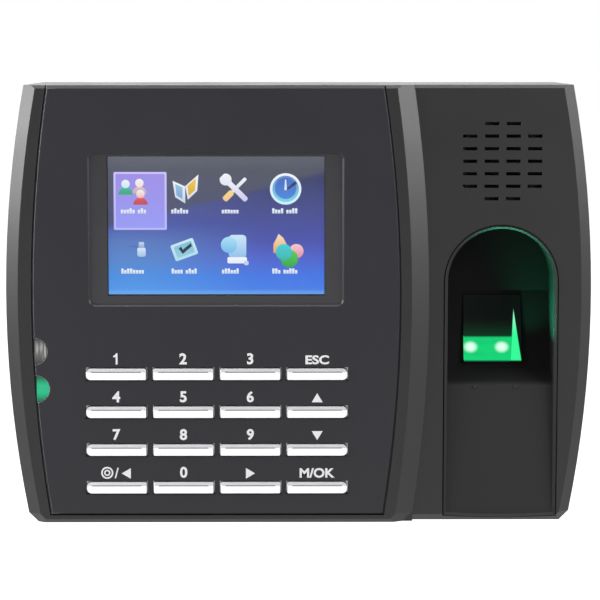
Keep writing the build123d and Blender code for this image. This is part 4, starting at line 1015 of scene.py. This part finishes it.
world = bpy.data.worlds.new("studio")
bpy.context.scene.world = world
world.use_nodes = True
sky = world.node_tree
dim = sky.nodes["Background"]
dim.inputs["Color"].default_value = (0.9, 0.94, 1.0, 1.0)
dim.inputs["Strength"].default_value = 0.2
white = sky.nodes.new("ShaderNodeBackground")
white.inputs["Color"].default_value = (1.0, 1.0, 1.0, 1.0)
path = sky.nodes.new("ShaderNodeLightPath")
either = sky.nodes.new("ShaderNodeMixShader")
sky.links.new(path.outputs["Is Camera Ray"], either.inputs[0])
sky.links.new(dim.outputs[0], either.inputs[1])
sky.links.new(white.outputs[0], either.inputs[2])
sky.links.new(either.outputs[0], sky.nodes["World Output"].inputs["Surface"])
bpy.context.scene.view_settings.view_transform = "Standard"


# %% Soft boxes
def soft_box(name, place, width, height, brightness, aim=(0.0, -0.02, 0.0), color=(1.0, 1.0, 1.0)):
    """A rectangular light. brightness is how bright its face looks beside a white of 1."""
    light = bpy.data.lights.new(name, "AREA")
    light.shape, light.size, light.size_y = "RECTANGLE", width, height
    light.energy = brightness * pi * width * height
    light.color = color
    lamp = bpy.data.objects.new(name, light)
    lamp.location = place
    lamp.rotation_euler = (Vector(aim) - Vector(place)).to_track_quat("-Z", "Y").to_euler()
    lamp.visible_camera = False
    bpy.context.scene.collection.objects.link(lamp)
    return lamp


soft_box("left_box", (-0.38, -0.12, 0.14), 0.3, 0.24, 15.5)
soft_box("right_box", (0.38, -0.22, 0.15), 0.3, 0.22, 12.0)
soft_box("top_box", (0.0, -0.14, 0.8), 0.8, 0.4, 5.6)
soft_box("back_box", (0.0, 1.1, 0.28), 1.2, 0.4, 2.0)
soft_box("front_box", (-0.25, -1.4, 0.75), 0.8, 0.5, 0.9)

# %% [markdown]
# The sensor's own light also falls on the wall of the bay, above and to the right of the glass. A small
# green lamp just in front of the glass stands for the light that leaves it.

# %% Light from the sensor
glow_place = (glass_high.x - 3 * MM, glass_low.y - 1.5 * MM, glass_low.z + 4 * MM)
glow_aim = (guide_high.x, guide_low.y + 2 * MM, guide_high.z - 6 * MM)
glow_color = (0.03, 1.0, 0.5)
sensor_light = soft_box("sensor_light", glow_place, 4 * MM, 3 * MM, 400.0, glow_aim, glow_color)
sensor_light.data.spread = radians(100)

# %% [markdown]
# ## Camera
# The terminal is seen straight on and slightly from above, from less than a metre away.

# %% Camera
DISTANCE = 0.8
AZIMUTH, ELEVATION = radians(-0.3), radians(6.95)
TARGET = Vector((0.12 * MM, -15 * MM, 0.24 * MM))
back = Vector((sin(AZIMUTH) * cos(ELEVATION), -cos(AZIMUTH) * cos(ELEVATION), sin(ELEVATION)))
lens = bpy.data.cameras.new("camera")
lens.lens, lens.sensor_width = 148.4, 36.0
lens.clip_start, lens.clip_end = 0.05, 20.0
camera = bpy.data.objects.new("camera", lens)
camera.location = TARGET + back * DISTANCE
camera.rotation_euler = (-back).to_track_quat("-Z", "Y").to_euler()
bpy.context.scene.collection.objects.link(camera)
bpy.context.scene.camera = camera
